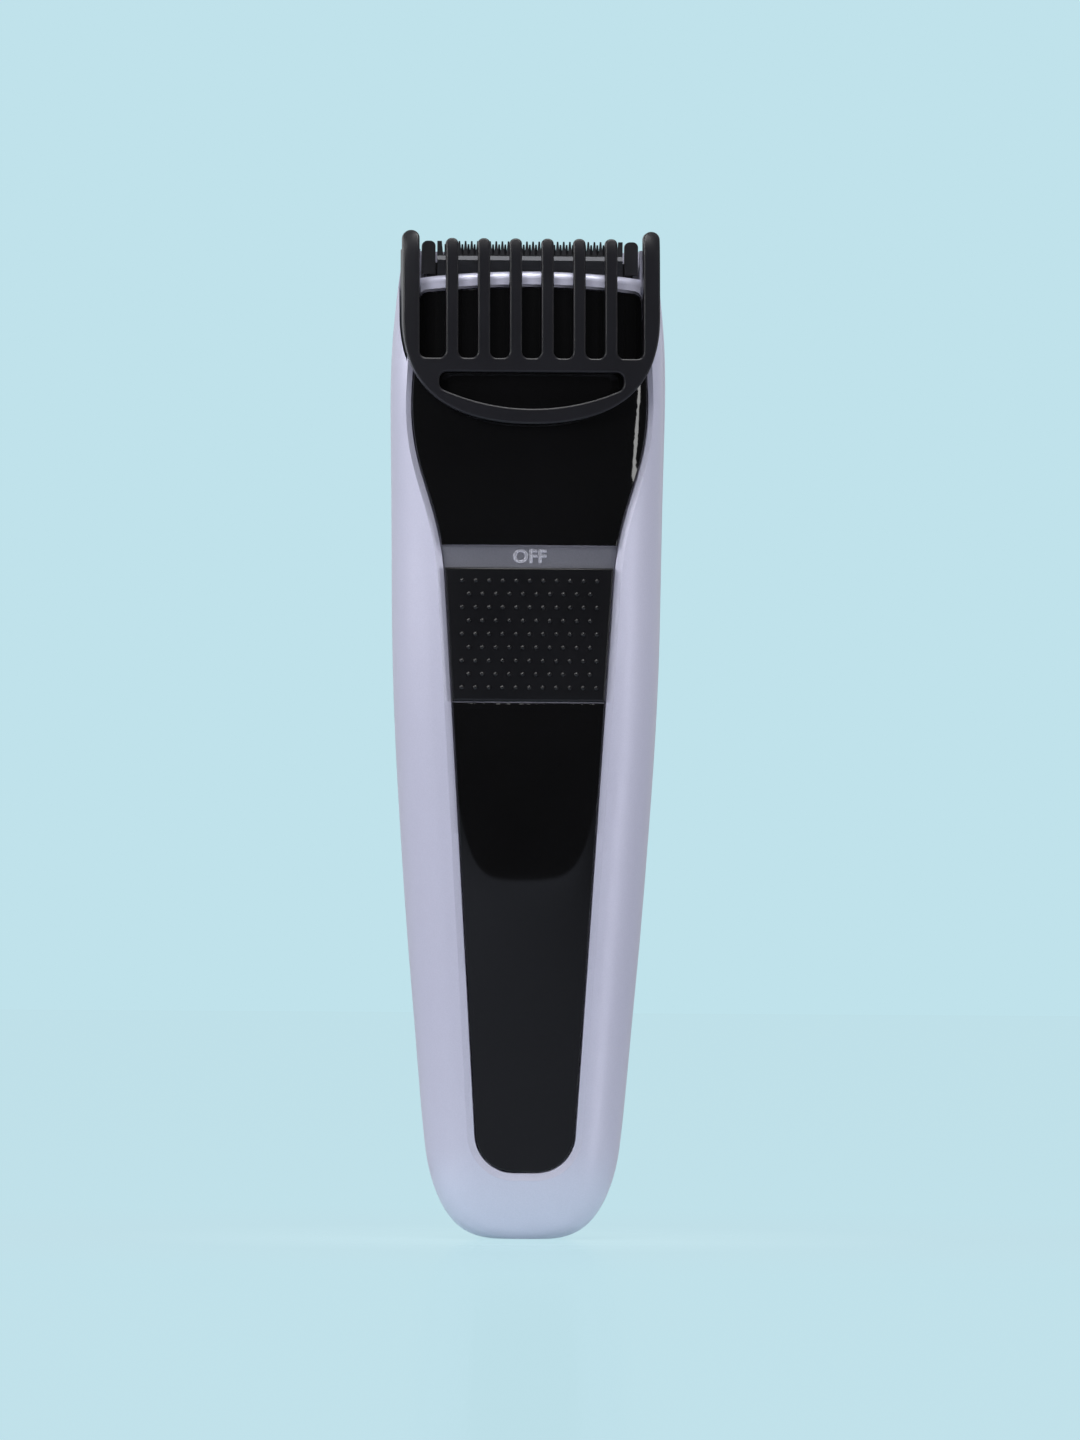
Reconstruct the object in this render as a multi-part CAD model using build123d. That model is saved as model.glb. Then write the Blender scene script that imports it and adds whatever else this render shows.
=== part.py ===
from build123d import *
import math
import os

# Cordless hair clipper with a sliding guide comb. Millimetres. +Z runs up from the flat foot to the blades,
# -Y is the front with the switch, +X is on the right seen from the front. The origin is the foot's centre.

# Casing: heights, half widths, and depths in front of and behind the parting plane at named places
FOOT_HALF_WIDTH = 5.4
FOOT_HALF_DEPTH = 6.0
TAIL_Z = 16.0
TAIL_HALF_WIDTH = 16.0
TAIL_FRONT = 11.6
TAIL_BACK = 12.2
LOWER_Z = 50.0
LOWER_HALF_WIDTH = 19.05
LOWER_FRONT = 13.2
LOWER_BACK = 14.8
GRIP_Z = 86.0
GRIP_HALF_WIDTH = 21.4
GRIP_FRONT = 14.2
GRIP_BACK = 16.4
WAIST_Z = 114.0
WAIST_HALF_WIDTH = 22.0
WAIST_FRONT = 14.2
WAIST_BACK = 16.4
SHOULDER_Z = 146.0
SHOULDER_HALF_WIDTH = 22.05
SHOULDER_FRONT = 12.2
SHOULDER_BACK = 13.8
HEAD_Z = 161.0
HEAD_HALF_WIDTH = 20.4
HEAD_FRONT = 10.0
HEAD_BACK = 11.0
TAIL_SQUARENESS = 2.4
GRIP_SQUARENESS = 2.6
HEAD_SQUARENESS = 3.3
SECTION_POINTS = 16
WALL = 2.2
FRONT_WALL = 3.2
SEAM = 0.16

# Inlay channel in the front: outline seen from the front, depth, and the bevel round it
INLAY_FOOT_Z = 10.8
INLAY_FOOT_ROUND = 6.4
INLAY_TAIL_Z = 19.0
INLAY_TAIL_HALF_WIDTH = 8.4
INLAY_WAIST_Z = 107.0
INLAY_WAIST_HALF_WIDTH = 13.8
INLAY_SHOULDER_Z = 139.0
INLAY_SHOULDER_HALF_WIDTH = 19.2
INLAY_TOP_HALF_WIDTH = 18.2
INLAY_TOP_SIDE_Z = 154.2
INLAY_TOP_MID_Z = 155.3
INLAY_TOP_ROUND = 1.6
CHANNEL_DEPTH = 2.2
FRAME_BEVEL_WIDTH = 1.2
FRAME_BEVEL_DEPTHS = ((0, 0.5), (44.0, 0.65), (66.0, 0.85), (87.4, 1.2))
BAND_ROUND = 1.3
HEAD_ROUND = 0.8
PANEL_GAP = 0.2
PANEL_TOP_DROP = 0.2
PANEL_RECESS = 0.45
PANEL_EDGE_ROUND = 0.4
GLUE_GAP = 0.08

# Switch: pad between the two panels, its travel, the bed it slides on and the stem through the floor
SWITCH_LOW_Z = 87.5
SWITCH_HIGH_Z = 109.2
SWITCH_TRAVEL = 3.5
SWITCH_GAP = 0.25
SWITCH_RECESS = 0.4
SWITCH_THICKNESS = 1.0
SWITCH_EDGE_ROUND = 0.4
BED_THICKNESS = 0.5
STEM_WIDTH = 5.0
STEM_LENGTH = 7.5
STEM_Z = 98.2
STEM_CLEARANCE = 0.3
CLIP_WIDTH = 14.0
CLIP_LENGTH = 12.0
CLIP_THICKNESS = 1.2

# Head: notch between the horns, comb recess and rail slots in the front shell
NOTCH_HALF_WIDTH = 17.9
HEAD_CAVITY_HALF_WIDTH = 17.1
BAND_TOP_SIDE_Z = 156.3
BAND_TOP_MID_Z = 157.4
HEAD_FLOOR_Z = 138.6
RECESS_HALF_WIDTH = 19.95
SLIDE_CLEARANCE = 0.2
LEG_THICKNESS = 1.25
LEG_DEPTH = 2.0
LEG_Y = -3.2
LEG_LOW_Z = 139.6

# Guide comb: outline, teeth and slots
COMB_GAP = 0.5
COMB_THICKNESS = 2.3
COMB_HALF_WIDTH = 20.9
COMB_SQUARENESS = 7.0
COMB_LIP_Z = 132.5
COMB_CURVE_Z = 150.0
COMB_ARM_WIDTH = 2.7
COMB_ARM_BACK_Y = -5.6
COMB_ARM_ROUND = 1.3
COMB_ARM_TOP_Z = 164.0
COMB_TOOTH_TOP_Z = 162.7
COMB_TOOTH_WIDTH = 2.0
COMB_TOOTH_PITCH = 5.17
COMB_TEETH = 6
COMB_SLOT_Z = 143.2
COMB_SLOT_ROUND = 1.1
COMB_TIP_ROUND_Z = 159.5
COMB_WINDOW_TOP_Z = 140.9
COMB_WINDOW_LOW_Z = 135.0
COMB_WINDOW_HALF_WIDTH = 15.0
COMB_WINDOW_END = 2.6
COMB_EDGE_ROUND = 0.35

# Blades and their holder
BLADE_WIDTH = 30.2
BLADE_LOW_Z = 144.8
BLADE_TIP_Z = 162.4
BLADE_THICKNESS = 0.8
BLADE_FRONT_Y = -5.9
BLADE_TOOTH_PITCH = 1.0
BLADE_TOOTH_LENGTH = 2.2
BLADE_GAP_ROOT = 0.3
BLADE_GAP_MOUTH = 0.75
BLADE_RIDGE = 0.5
BLADE_RIDGE_LOW_Z = 156.0
BLADE_RIDGE_SLOPE_Z = 159.3
BLADE_RIDGE_HIGH_Z = 160.0
CUTTER_WIDTH = 27.8
CUTTER_THICKNESS = 0.65
CUTTER_LOW_Z = 151.2
CUTTER_TIP_DROP = 0.5
CUTTER_TRAVEL = 0.9
BLADE_GAP = 0.05
HOLDER_TOP_Z = 157.4
ROOF_THICKNESS = 1.5
HOLDER_GAP = 0.3
POST_WIDTH = 2.2
POST_DEPTH = 2.4
POST_TOP_Z = 162.4
BLADE_SCREW_X = 12.0
BLADE_SCREW_Z = 147.6

# Drive: motor, eccentric and the yoke behind the moving blade
MOTOR_Y = 2.7
MOTOR_DIAMETER = 20.4
MOTOR_FLATS = 15.3
MOTOR_LENGTH = 29.0
MOTOR_WALL = 1.0
END_CAP_LENGTH = 2.5
SHAFT_DIAMETER = 2.0
BUSH_DIAMETER = 5.0
BUSH_LENGTH = 3.0
RUNNING_CLEARANCE = 0.05
ARMATURE_DIAMETER = 12.0
ARMATURE_LENGTH = 17.0
COMMUTATOR_DIAMETER = 4.8
COMMUTATOR_LENGTH = 3.5
MAGNET_THICKNESS = 2.3
MAGNET_SPAN = 10.0
ARMATURE_RISE = 6.0
COMMUTATOR_RISE = 1.5
PRESS_GAP = 0.01
TAG_X = 6.0
TAG_WIDTH = 2.0
TAG_THICKNESS = 0.4
TAG_LENGTH = 2.5
PLATE_THICKNESS = 1.8
FELT_DIAMETER = 8.6
FELT_THICKNESS = 1.0
MOTOR_SCREW_X = 6.5
HUB_DIAMETER = 6.4
HUB_LOW_Z = 140.0
HUB_HIGH_Z = 145.0
PIN_DIAMETER = 2.0
PIN_HIGH_Z = 150.5
YOKE_HALF_WIDTH = 8.0
YOKE_LOW_Z = 146.5
YOKE_HIGH_Z = 151.5
YOKE_WALL_Z = 156.0
YOKE_WALL = 1.5
YOKE_REAR = 1.4
RIVET_X = 3.0
RIVET_Z = 153.6
RIVET_DIAMETER = 1.6
SPRING_WIRE = 0.8
SPRING_Z = 153.8
SPRING_HALF_WIDTH = 6.6

# Power: battery, boards, socket
BATTERY_DIAMETER = 14.2
BATTERY_LENGTH = 49.0
BATTERY_LOW_Z = 22.0
BATTERY_Y = 2.8
NUB_DIAMETER = 5.5
NUB_HEIGHT = 1.2
TAB_WIDTH = 5.0
TAB_THICKNESS = 0.25
BOARD_HALF_WIDTH = 9.0
BOARD_LOW_Z = 75.5
BOARD_HIGH_Z = 119.5
BOARD_THICKNESS = 1.0
BOARD_FRONT_Y = -7.3
STANDOFF_X = 6.6
STANDOFF_INSET = 3.2
STANDOFF_DIAMETER = 4.0
CHIP_Z = 88.5
CHIP_SIZE = 5.0
CHIP_HEIGHT = 1.3
CHIP_SPACING = 5.3
TRANSISTOR_LENGTH = 2.8
TRANSISTOR_WIDTH = 1.6
CAPACITOR_DIAMETER = 4.0
CAPACITOR_HEIGHT = 3.5
SLIDER_WIDTH = 4.6
SLIDER_LENGTH = 10.0
SLIDER_HEIGHT = 1.5
KNOB_WIDTH = 1.8
KNOB_LENGTH = 2.0
KNOB_HEIGHT = 0.9
SOCKET_WIDTH = 7.5
SOCKET_DEPTH = 2.6
SOCKET_LENGTH = 5.2
SOCKET_WALL = 0.3
SOCKET_MOUTH_Z = 0.8
SOCKET_TONGUE_WIDTH = 3.7
SOCKET_TONGUE_DEPTH = 0.6
CHARGE_BOARD_WIDTH = 11.0
CHARGE_BOARD_LOW_Z = 4.0
CHARGE_BOARD_HIGH_Z = 15.0
BEZEL_HALF_WIDTH = 4.9
BEZEL_HALF_DEPTH = 4.6
BEZEL_FLANGE = 0.9
LEAD_DIAMETER = 1.1
LEAD_END_GAP = 0.05
BATTERY_LEAD_X = 1.6
CHARGE_LEAD_X = 3.8

# Fasteners
CASING_SCREW_LOW_X = 11.2
CASING_SCREW_LOW_Z = 24.0
CASING_SCREW_HIGH_X = 15.4
CASING_SCREW_HIGH_Z = 124.0
CASING_SCREW_DIAMETER = 2.2
CASING_SCREW_HEAD = 4.2
CASING_SCREW_HEAD_HEIGHT = 1.6
CASING_SCREW_SEAT_Y = 5.5
CASING_SCREW_LENGTH = 10.0
SMALL_SCREW_DIAMETER = 1.6
SMALL_SCREW_HEAD = 3.0
SMALL_SCREW_HEAD_HEIGHT = 1.0
SCREW_CLEARANCE = 0.05
BOSS_WALL = 1.5
BOSS_OVERLAP = 0.3
BOARD_SCREW_LENGTH = 4.0
BLADE_SCREW_LENGTH = 5.0
MOTOR_SCREW_LENGTH = 3.6
RIB_THICKNESS = 1.4
RIB_GAP = 0.1
RIB_HEIGHTS = (29.0, 46.0, 63.0)
MOTOR_RIB_OFFSETS = (5.0, 22.0)

# Places that follow from the sizes above
FAR = 60.0
TOP_Z = HEAD_Z + 7.0
UPPER_PANEL_LOW_Z = SWITCH_HIGH_Z + SWITCH_TRAVEL + PANEL_GAP
LOWER_PANEL_HIGH_Z = SWITCH_LOW_Z - SWITCH_GAP
STEM_END_Y = BOARD_FRONT_Y - SLIDER_HEIGHT - 0.15
PLATE_TOP_Z = HEAD_FLOOR_Z - 0.2
MOTOR_TOP_Z = PLATE_TOP_Z - PLATE_THICKNESS
MOTOR_LOW_Z = MOTOR_TOP_Z - MOTOR_LENGTH
NOSE_DIAMETER = BUSH_DIAMETER + 2 * MOTOR_WALL
ARMATURE_LOW_Z = MOTOR_LOW_Z + ARMATURE_RISE
CHEEK_HALF_WIDTH = RECESS_HALF_WIDTH + SLIDE_CLEARANCE
LEG_HALF_WIDTH = CHEEK_HALF_WIDTH - LEG_THICKNESS
HOLDER_HALF_WIDTH = HEAD_CAVITY_HALF_WIDTH - HOLDER_GAP
BLADE_BACK_Y = BLADE_FRONT_Y + BLADE_THICKNESS
CUTTER_FRONT_Y = BLADE_BACK_Y + BLADE_GAP
CUTTER_BACK_Y = CUTTER_FRONT_Y + CUTTER_THICKNESS
YOKE_SLOT_HALF_WIDTH = PIN_DIAMETER / 2 + 2 * CUTTER_TRAVEL + STEM_CLEARANCE
YOKE_SLOT_HALF_DEPTH = PIN_DIAMETER / 2 + CUTTER_TRAVEL + STEM_CLEARANCE
YOKE_REAR_Y = MOTOR_Y + YOKE_SLOT_HALF_DEPTH + YOKE_REAR
HOLDER_REAR_Y = YOKE_REAR_Y + 0.8
BATTERY_HIGH_Z = BATTERY_LOW_Z + BATTERY_LENGTH
LEAD_RUN_Y = BATTERY_Y - BATTERY_DIAMETER / 2 - LEAD_DIAMETER / 2 - 0.2
BOARD_BACK_Y = BOARD_FRONT_Y + BOARD_THICKNESS
CHARGE_BOARD_FRONT_Y = SOCKET_DEPTH / 2 + GLUE_GAP
CHARGE_BOARD_BACK_Y = CHARGE_BOARD_FRONT_Y + BOARD_THICKNESS
CASING_SCREW_HOLE = CASING_SCREW_DIAMETER + 2 * SCREW_CLEARANCE
SMALL_SCREW_HOLE = SMALL_SCREW_DIAMETER + 2 * SCREW_CLEARANCE
CASING_SCREW_PLACES = [
    (side * x, z)
    for x, z in ((CASING_SCREW_LOW_X, CASING_SCREW_LOW_Z), (CASING_SCREW_HIGH_X, CASING_SCREW_HIGH_Z))
    for side in (-1, 1)
]
STANDOFF_PLACES = [
    (side * STANDOFF_X, z)
    for z in (BOARD_LOW_Z + STANDOFF_INSET, BOARD_HIGH_Z - STANDOFF_INSET)
    for side in (-1, 1)
]
STATIONS = [
    (TAIL_Z, TAIL_HALF_WIDTH, TAIL_FRONT, TAIL_BACK, TAIL_SQUARENESS),
    (LOWER_Z, LOWER_HALF_WIDTH, LOWER_FRONT, LOWER_BACK, TAIL_SQUARENESS),
    (GRIP_Z, GRIP_HALF_WIDTH, GRIP_FRONT, GRIP_BACK, GRIP_SQUARENESS),
    (WAIST_Z, WAIST_HALF_WIDTH, WAIST_FRONT, WAIST_BACK, GRIP_SQUARENESS),
    (SHOULDER_Z, SHOULDER_HALF_WIDTH, SHOULDER_FRONT, SHOULDER_BACK, HEAD_SQUARENESS),
    (HEAD_Z, HEAD_HALF_WIDTH, HEAD_FRONT, HEAD_BACK, HEAD_SQUARENESS),
]


def block(x, y, z):
    """A box from three (low, high) pairs."""
    size = Box(x[1] - x[0], y[1] - y[0], z[1] - z[0])
    return Pos((x[0] + x[1]) / 2, (y[0] + y[1]) / 2, (z[0] + z[1]) / 2) * size


def column(x, y, z, diameter):
    """An upright cylinder between two heights."""
    return Pos(x, y, (z[0] + z[1]) / 2) * Cylinder(diameter / 2, z[1] - z[0])


def bar(x, z, y, diameter):
    """A cylinder that runs from front to back between two depths."""
    return Pos(x, (y[0] + y[1]) / 2, z) * Rot(90, 0, 0) * Cylinder(diameter / 2, y[1] - y[0])


def tail_at(z, tail, lower, foot):
    """One half size of the casing below the tail: the taper from above carried on down, rounded in to the
    foot by a fourth root so that the corner is tight and the end nearly flat."""
    taper = (lower - tail) / (LOWER_Z - TAIL_Z)
    shrink = 1 - (foot / (tail - taper * TAIL_Z)) ** 4
    drop = TAIL_Z - z
    return (tail - taper * drop) * (1 - shrink * (drop / TAIL_Z) ** 2) ** 0.25


def casing_at(z):
    """Half width, front depth, back depth and squareness of the casing at a height: a smooth curve through
    the stations, with the tail's own rounding below them."""
    if z < TAIL_Z:
        half_width = tail_at(z, TAIL_HALF_WIDTH, LOWER_HALF_WIDTH, FOOT_HALF_WIDTH)
        front = tail_at(z, TAIL_FRONT, LOWER_FRONT, FOOT_HALF_DEPTH)
        back = tail_at(z, TAIL_BACK, LOWER_BACK, FOOT_HALF_DEPTH)
        return half_width, front, back, TAIL_SQUARENESS
    last = len(STATIONS) - 1
    i = max(k for k in range(last) if z >= STATIONS[k][0])
    low = STATIONS[i]
    high = STATIONS[i + 1]
    if z > HEAD_Z:
        return tuple(high[c] + (high[c] - low[c]) / (high[0] - low[0]) * (z - HEAD_Z) for c in range(1, 5))
    before = STATIONS[max(i - 1, 0)]
    after = STATIONS[min(i + 2, last)]
    span = high[0] - low[0]
    t = (z - low[0]) / span
    values = []
    for c in range(1, 5):
        slope_low = (high[c] - before[c]) / (high[0] - before[0]) * span
        slope_high = (after[c] - low[c]) / (after[0] - low[0]) * span
        rise = (2 * t ** 3 - 3 * t ** 2 + 1) * low[c] + (t ** 3 - 2 * t ** 2 + t) * slope_low
        values.append(rise + (3 * t ** 2 - 2 * t ** 3) * high[c] + (t ** 3 - t ** 2) * slope_high)
    return tuple(values)


def section(z, half_width, front, back, squareness):
    """One closed outline of the casing: a superellipse, deeper behind the parting plane than in front."""
    points = []
    for k in range(SECTION_POINTS):
        turn = 2 * math.pi * k / SECTION_POINTS
        across = math.cos(turn)
        along = math.sin(turn)
        depth = back if along > 0 else front
        x = math.copysign(half_width * abs(across) ** (2 / squareness), across)
        y = math.copysign(depth * abs(along) ** (2 / squareness), along)
        points.append((x, y, z))
    return Wire([Spline(*points, periodic=True)])


def body(side=0.0, front=0.0, back=0.0, foot=0.0):
    """The casing's outer form taken in by the given amounts at its sides, front, back and foot."""
    steps = 9
    heights = [TAIL_Z * share for share in (0, 0.04, 0.13, 0.3, 0.55, 0.8)]
    heights += [TAIL_Z + (HEAD_Z - TAIL_Z) * k / steps for k in range(steps + 1)]
    heights.append(TOP_Z)
    wires = []
    for z in heights:
        half_width, front_depth, back_depth, squareness = casing_at(z)
        place = z if z > TAIL_Z else foot + (TAIL_Z - foot) * z / TAIL_Z
        wires.append(section(place, half_width - side, front_depth - front, back_depth - back, squareness))
    return Solid.make_loft(wires)


def layer(inset):
    """The casing's outer form taken in evenly, as the skins of the inlay are."""
    return body(inset, inset, inset)


def inlay_outline(inset=0.0, drop=0.0):
    """The inlay seen from the front: round foot, straight taper, S-curve out to the shoulder, arched top.
    An inset draws the outline in on every side, and a drop lowers its top."""
    taper = (INLAY_WAIST_HALF_WIDTH - INLAY_TAIL_HALF_WIDTH) / (INLAY_WAIST_Z - INLAY_TAIL_Z)
    lean = (INLAY_SHOULDER_HALF_WIDTH - INLAY_TOP_HALF_WIDTH) / (INLAY_TOP_SIDE_Z - INLAY_SHOULDER_Z)
    reach = (INLAY_SHOULDER_Z - INLAY_WAIST_Z) * 0.45
    low = INLAY_FOOT_Z + inset
    high = INLAY_TOP_SIDE_Z - inset - drop
    waist = (INLAY_WAIST_HALF_WIDTH - inset, INLAY_WAIST_Z)
    shoulder = (INLAY_SHOULDER_HALF_WIDTH - inset, INLAY_SHOULDER_Z)
    foot = (waist[0] - taper * (INLAY_WAIST_Z - low), low)
    top = (shoulder[0] - lean * (high - INLAY_SHOULDER_Z), high)
    leave = (waist[0] + taper * reach, waist[1] + reach)
    arrive = (shoulder[0] + lean * reach, shoulder[1] - reach)
    side = [Line(foot, waist), Bezier(waist, leave, arrive, shoulder), Line(shoulder, top)]
    edges = side + [mirror(edge, about=Plane.YZ) for edge in side]
    edges.append(Line((-foot[0], low), foot))
    edges.append(ThreePointArc(top, (0, INLAY_TOP_MID_Z - inset - drop), (-top[0], high)))
    outline = make_face(edges)
    outline = fillet(outline.vertices().group_by(Axis.Y)[0], INLAY_FOOT_ROUND - inset)
    return fillet(outline.vertices().group_by(Axis.Y)[-1], INLAY_TOP_ROUND - inset)


def from_front(sketch):
    """A front-view outline carried from the parting plane out past the front."""
    return extrude(Plane.XZ * sketch, amount=FAR)


def both_sides(shape):
    """A shape and its mirror image on the other side of the clipper."""
    return shape + mirror(shape, about=Plane.YZ)


def screw(diameter, length, head, head_height):
    """A pan head screw that stands on its tip along Z, its seat at zero, with a cross recess."""
    solid = column(0, 0, (-length, 0), diameter) + column(0, 0, (0, head_height), head)
    solid = fillet(solid.edges().group_by(Axis.Z)[-1], head_height * 0.4)
    for turn in (0, 90):
        recess = block((-head * 0.3, head * 0.3), (-0.25, 0.25), (head_height * 0.4, head_height))
        solid -= Rot(0, 0, turn) * recess
    return solid


def cavity(overlap=0.0):
    """The room inside the casing; an overlap lets ribs and bosses reach a little way into the walls."""
    wall = WALL - overlap
    room = body(wall, FRONT_WALL - overlap, wall, wall)
    cheek = block((HEAD_CAVITY_HALF_WIDTH + overlap, FAR), (-FAR, 0), (HEAD_FLOOR_Z + overlap, TOP_Z + 1))
    return room - both_sides(cheek)


def foot_opening():
    """The hole in the foot for the bezel, and the pocket inside that takes its flange."""
    hole = extrude(Ellipse(BEZEL_HALF_WIDTH + RIB_GAP, BEZEL_HALF_DEPTH + RIB_GAP), amount=WALL)
    flange = Ellipse(BEZEL_HALF_WIDTH + BEZEL_FLANGE + RIB_GAP, BEZEL_HALF_DEPTH + BEZEL_FLANGE + RIB_GAP)
    return hole + Pos(0, 0, WALL) * extrude(flange, amount=4)


def comb_outline(outset=0.0):
    """The comb seen from the front: two straight arms that run into one curved lip."""
    top = COMB_ARM_TOP_Z + outset
    half = COMB_HALF_WIDTH + outset
    lip = COMB_LIP_Z - outset
    bend = (COMB_CURVE_Z - COMB_LIP_Z) * 0.69
    side = [
        Line((half, top), (half, COMB_CURVE_Z)),
        Bezier((half, COMB_CURVE_Z), (half, COMB_CURVE_Z - bend), (half * 0.64, lip), (0, lip)),
    ]
    edges = side + [mirror(edge, about=Plane.YZ) for edge in side]
    edges.append(Line((half, top), (-half, top)))
    outline = make_face(edges)
    return fillet(outline.vertices().group_by(Axis.Y)[-1], COMB_ARM_ROUND)


def front_shell():
    """Front half of the casing: silver frame with the inlay channel, the head notch and the comb recess."""
    half = block((-FAR, FAR), (-FAR, -SEAM / 2), (0, HEAD_Z))
    plain = (body() & half) - (from_front(inlay_outline()) - layer(CHANNEL_DEPTH))
    skin = [face for face in plain.faces() if face.inner_wires()][0]
    rim = skin.inner_wires()[0].edges()
    shell = Part()
    tops = [low for low, depth in FRAME_BEVEL_DEPTHS[1:]] + [HEAD_Z]
    for (low, depth), top in zip(FRAME_BEVEL_DEPTHS, tops):
        bevelled = chamfer(rim, FRAME_BEVEL_WIDTH, depth, reference=skin)
        shell += bevelled & block((-FAR, FAR), (-FAR, 0), (low, top))
    corner = (NOTCH_HALF_WIDTH, BAND_TOP_SIDE_Z)
    shell += plain & block((-corner[0], corner[0]), (-FAR, 0), (INLAY_TOP_SIDE_Z - INLAY_TOP_ROUND, HEAD_Z))
    notch = make_face([
        ThreePointArc((-corner[0], corner[1]), (0, BAND_TOP_MID_Z), corner),
        Polyline(corner, (corner[0], TOP_Z), (-corner[0], TOP_Z), (-corner[0], corner[1])),
    ])
    shell -= from_front(notch)
    band = [edge for edge in shell.edges() if BAND_TOP_SIDE_Z < edge.center().Z < BAND_TOP_MID_Z + 0.2]
    shell = fillet(min(band, key=lambda edge: edge.center().Y), BAND_ROUND)
    recess = from_front(comb_outline(COMB_GAP - SLIDE_CLEARANCE)) & block(
        (RECESS_HALF_WIDTH, FAR), (-FAR, 0), (COMB_LIP_Z, TOP_Z)
    )
    rail = block(
        (LEG_HALF_WIDTH - SLIDE_CLEARANCE, CHEEK_HALF_WIDTH + SLIDE_CLEARANCE),
        (LEG_Y - LEG_DEPTH / 2 - SLIDE_CLEARANCE, LEG_Y + LEG_DEPTH / 2 + SLIDE_CLEARANCE),
        (LEG_LOW_Z - 2 * SLIDE_CLEARANCE, TOP_Z),
    )
    shell -= both_sides(recess + rail)
    shell -= cavity()
    boss = CASING_SCREW_DIAMETER + 2 * BOSS_WALL
    bosses = [bar(x, z, (-FAR, -SEAM / 2), boss) for x, z in CASING_SCREW_PLACES]
    bosses += [bar(x, z, (-FAR, BOARD_FRONT_Y), STANDOFF_DIAMETER) for x, z in STANDOFF_PLACES]
    shell += (Part() + bosses) & cavity(BOSS_OVERLAP)
    tip = CASING_SCREW_SEAT_Y - CASING_SCREW_LENGTH - 0.5
    holes = [bar(x, z, (tip, 0), CASING_SCREW_HOLE) for x, z in CASING_SCREW_PLACES]
    tip = BOARD_FRONT_Y - BOARD_SCREW_LENGTH + BOARD_THICKNESS - 0.3
    holes += [bar(x, z, (tip, 0), SMALL_SCREW_HOLE) for x, z in STANDOFF_PLACES]
    return shell - (Part() + holes + [stem_slot(), foot_opening()])


def rear_shell():
    """Rear half of the casing, with ribs that cradle the cell and the motor and four deep screw wells."""
    shell = body() & block((-FAR, FAR), (SEAM / 2, FAR), (0, HEAD_Z))
    shell = fillet(shell.faces().sort_by(Axis.Z)[-1].edges().sort_by(Axis.Y)[-1], HEAD_ROUND)
    shell -= cavity()
    inner = []
    for z in RIB_HEIGHTS:
        seat = BATTERY_DIAMETER / 2 + RIB_GAP
        rib = block((-FAR, FAR), (SEAM / 2, FAR), (z, z + RIB_THICKNESS))
        rib -= column(0, BATTERY_Y, (z - 1, z + 3), 2 * seat)
        inner.append(rib - block((-seat, seat), (-1, BATTERY_Y), (z - 1, z + 3)))
    for rise in MOTOR_RIB_OFFSETS:
        z = MOTOR_LOW_Z + rise
        seat = MOTOR_DIAMETER / 2 + RIB_GAP
        rib = block((-FAR, FAR), (SEAM / 2, FAR), (z, z + RIB_THICKNESS))
        rib -= Pos(0, MOTOR_Y, z - 1) * extrude(motor_profile(RIB_GAP), amount=4)
        inner.append(rib - block((-seat, seat), (-1, MOTOR_Y), (z - 1, z + 3)))
    low = CHARGE_BOARD_LOW_Z + 4
    half = CHARGE_BOARD_WIDTH / 2
    inner.append(block((-half, half), (CHARGE_BOARD_BACK_Y + RIB_GAP, FAR), (low, low + RIB_THICKNESS)))
    well = CASING_SCREW_HEAD + 2 * SCREW_CLEARANCE
    inner += [bar(x, z, (SEAM / 2, FAR), well + 2 * BOSS_WALL) for x, z in CASING_SCREW_PLACES]
    shell += (Part() + inner) & cavity(BOSS_OVERLAP)
    holes = [
        bar(x, z, (0, CASING_SCREW_SEAT_Y), CASING_SCREW_HOLE) + bar(x, z, (CASING_SCREW_SEAT_Y, FAR), well)
        for x, z in CASING_SCREW_PLACES
    ]
    return shell - (Part() + holes + [foot_opening()])


def foot_bezel():
    """Black oval insert that the clipper stands on, held by its flange, with the socket's opening."""
    solid = extrude(Ellipse(BEZEL_HALF_WIDTH, BEZEL_HALF_DEPTH), amount=WALL + 0.5)
    flange = Ellipse(BEZEL_HALF_WIDTH + BEZEL_FLANGE, BEZEL_HALF_DEPTH + BEZEL_FLANGE)
    solid += Pos(0, 0, WALL + GLUE_GAP) * extrude(flange, amount=BEZEL_FLANGE)
    mouth = RectangleRounded(SOCKET_WIDTH + 2 * RIB_GAP, SOCKET_DEPTH + 2 * RIB_GAP, 0.6)
    return solid - extrude(mouth, amount=WALL + 4)


def inlay_piece(gap, top, low, heights, drop=0.0):
    """A piece of the inlay: its outline kept clear of the channel, between two skins and two heights."""
    piece = from_front(inlay_outline(gap, drop)) & block((-FAR, FAR), (-FAR, 0), heights)
    return (piece & layer(top)) - layer(low)


def round_front(piece, radius):
    """Round the edges of the face that looks to the front."""
    skins = [face for face in piece.faces() if face.geom_type == GeomType.BSPLINE]
    return fillet(min(skins, key=lambda face: face.center().Y).edges(), radius)


def upper_panel():
    """Gloss black inlay from above the switch to under the band, cut off square above the switch."""
    heights = (UPPER_PANEL_LOW_Z - 2 * PANEL_EDGE_ROUND, TOP_Z)
    panel = inlay_piece(PANEL_GAP, PANEL_RECESS, CHANNEL_DEPTH - GLUE_GAP, heights, PANEL_TOP_DROP)
    panel = round_front(panel, PANEL_EDGE_ROUND)
    return panel & block((-FAR, FAR), (-FAR, 0), (UPPER_PANEL_LOW_Z, TOP_Z))


def lower_panel():
    """Gloss black inlay from under the switch to the rounded tail."""
    panel = inlay_piece(PANEL_GAP, PANEL_RECESS, CHANNEL_DEPTH - GLUE_GAP, (0, LOWER_PANEL_HIGH_Z))
    return round_front(panel, PANEL_EDGE_ROUND)


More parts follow.
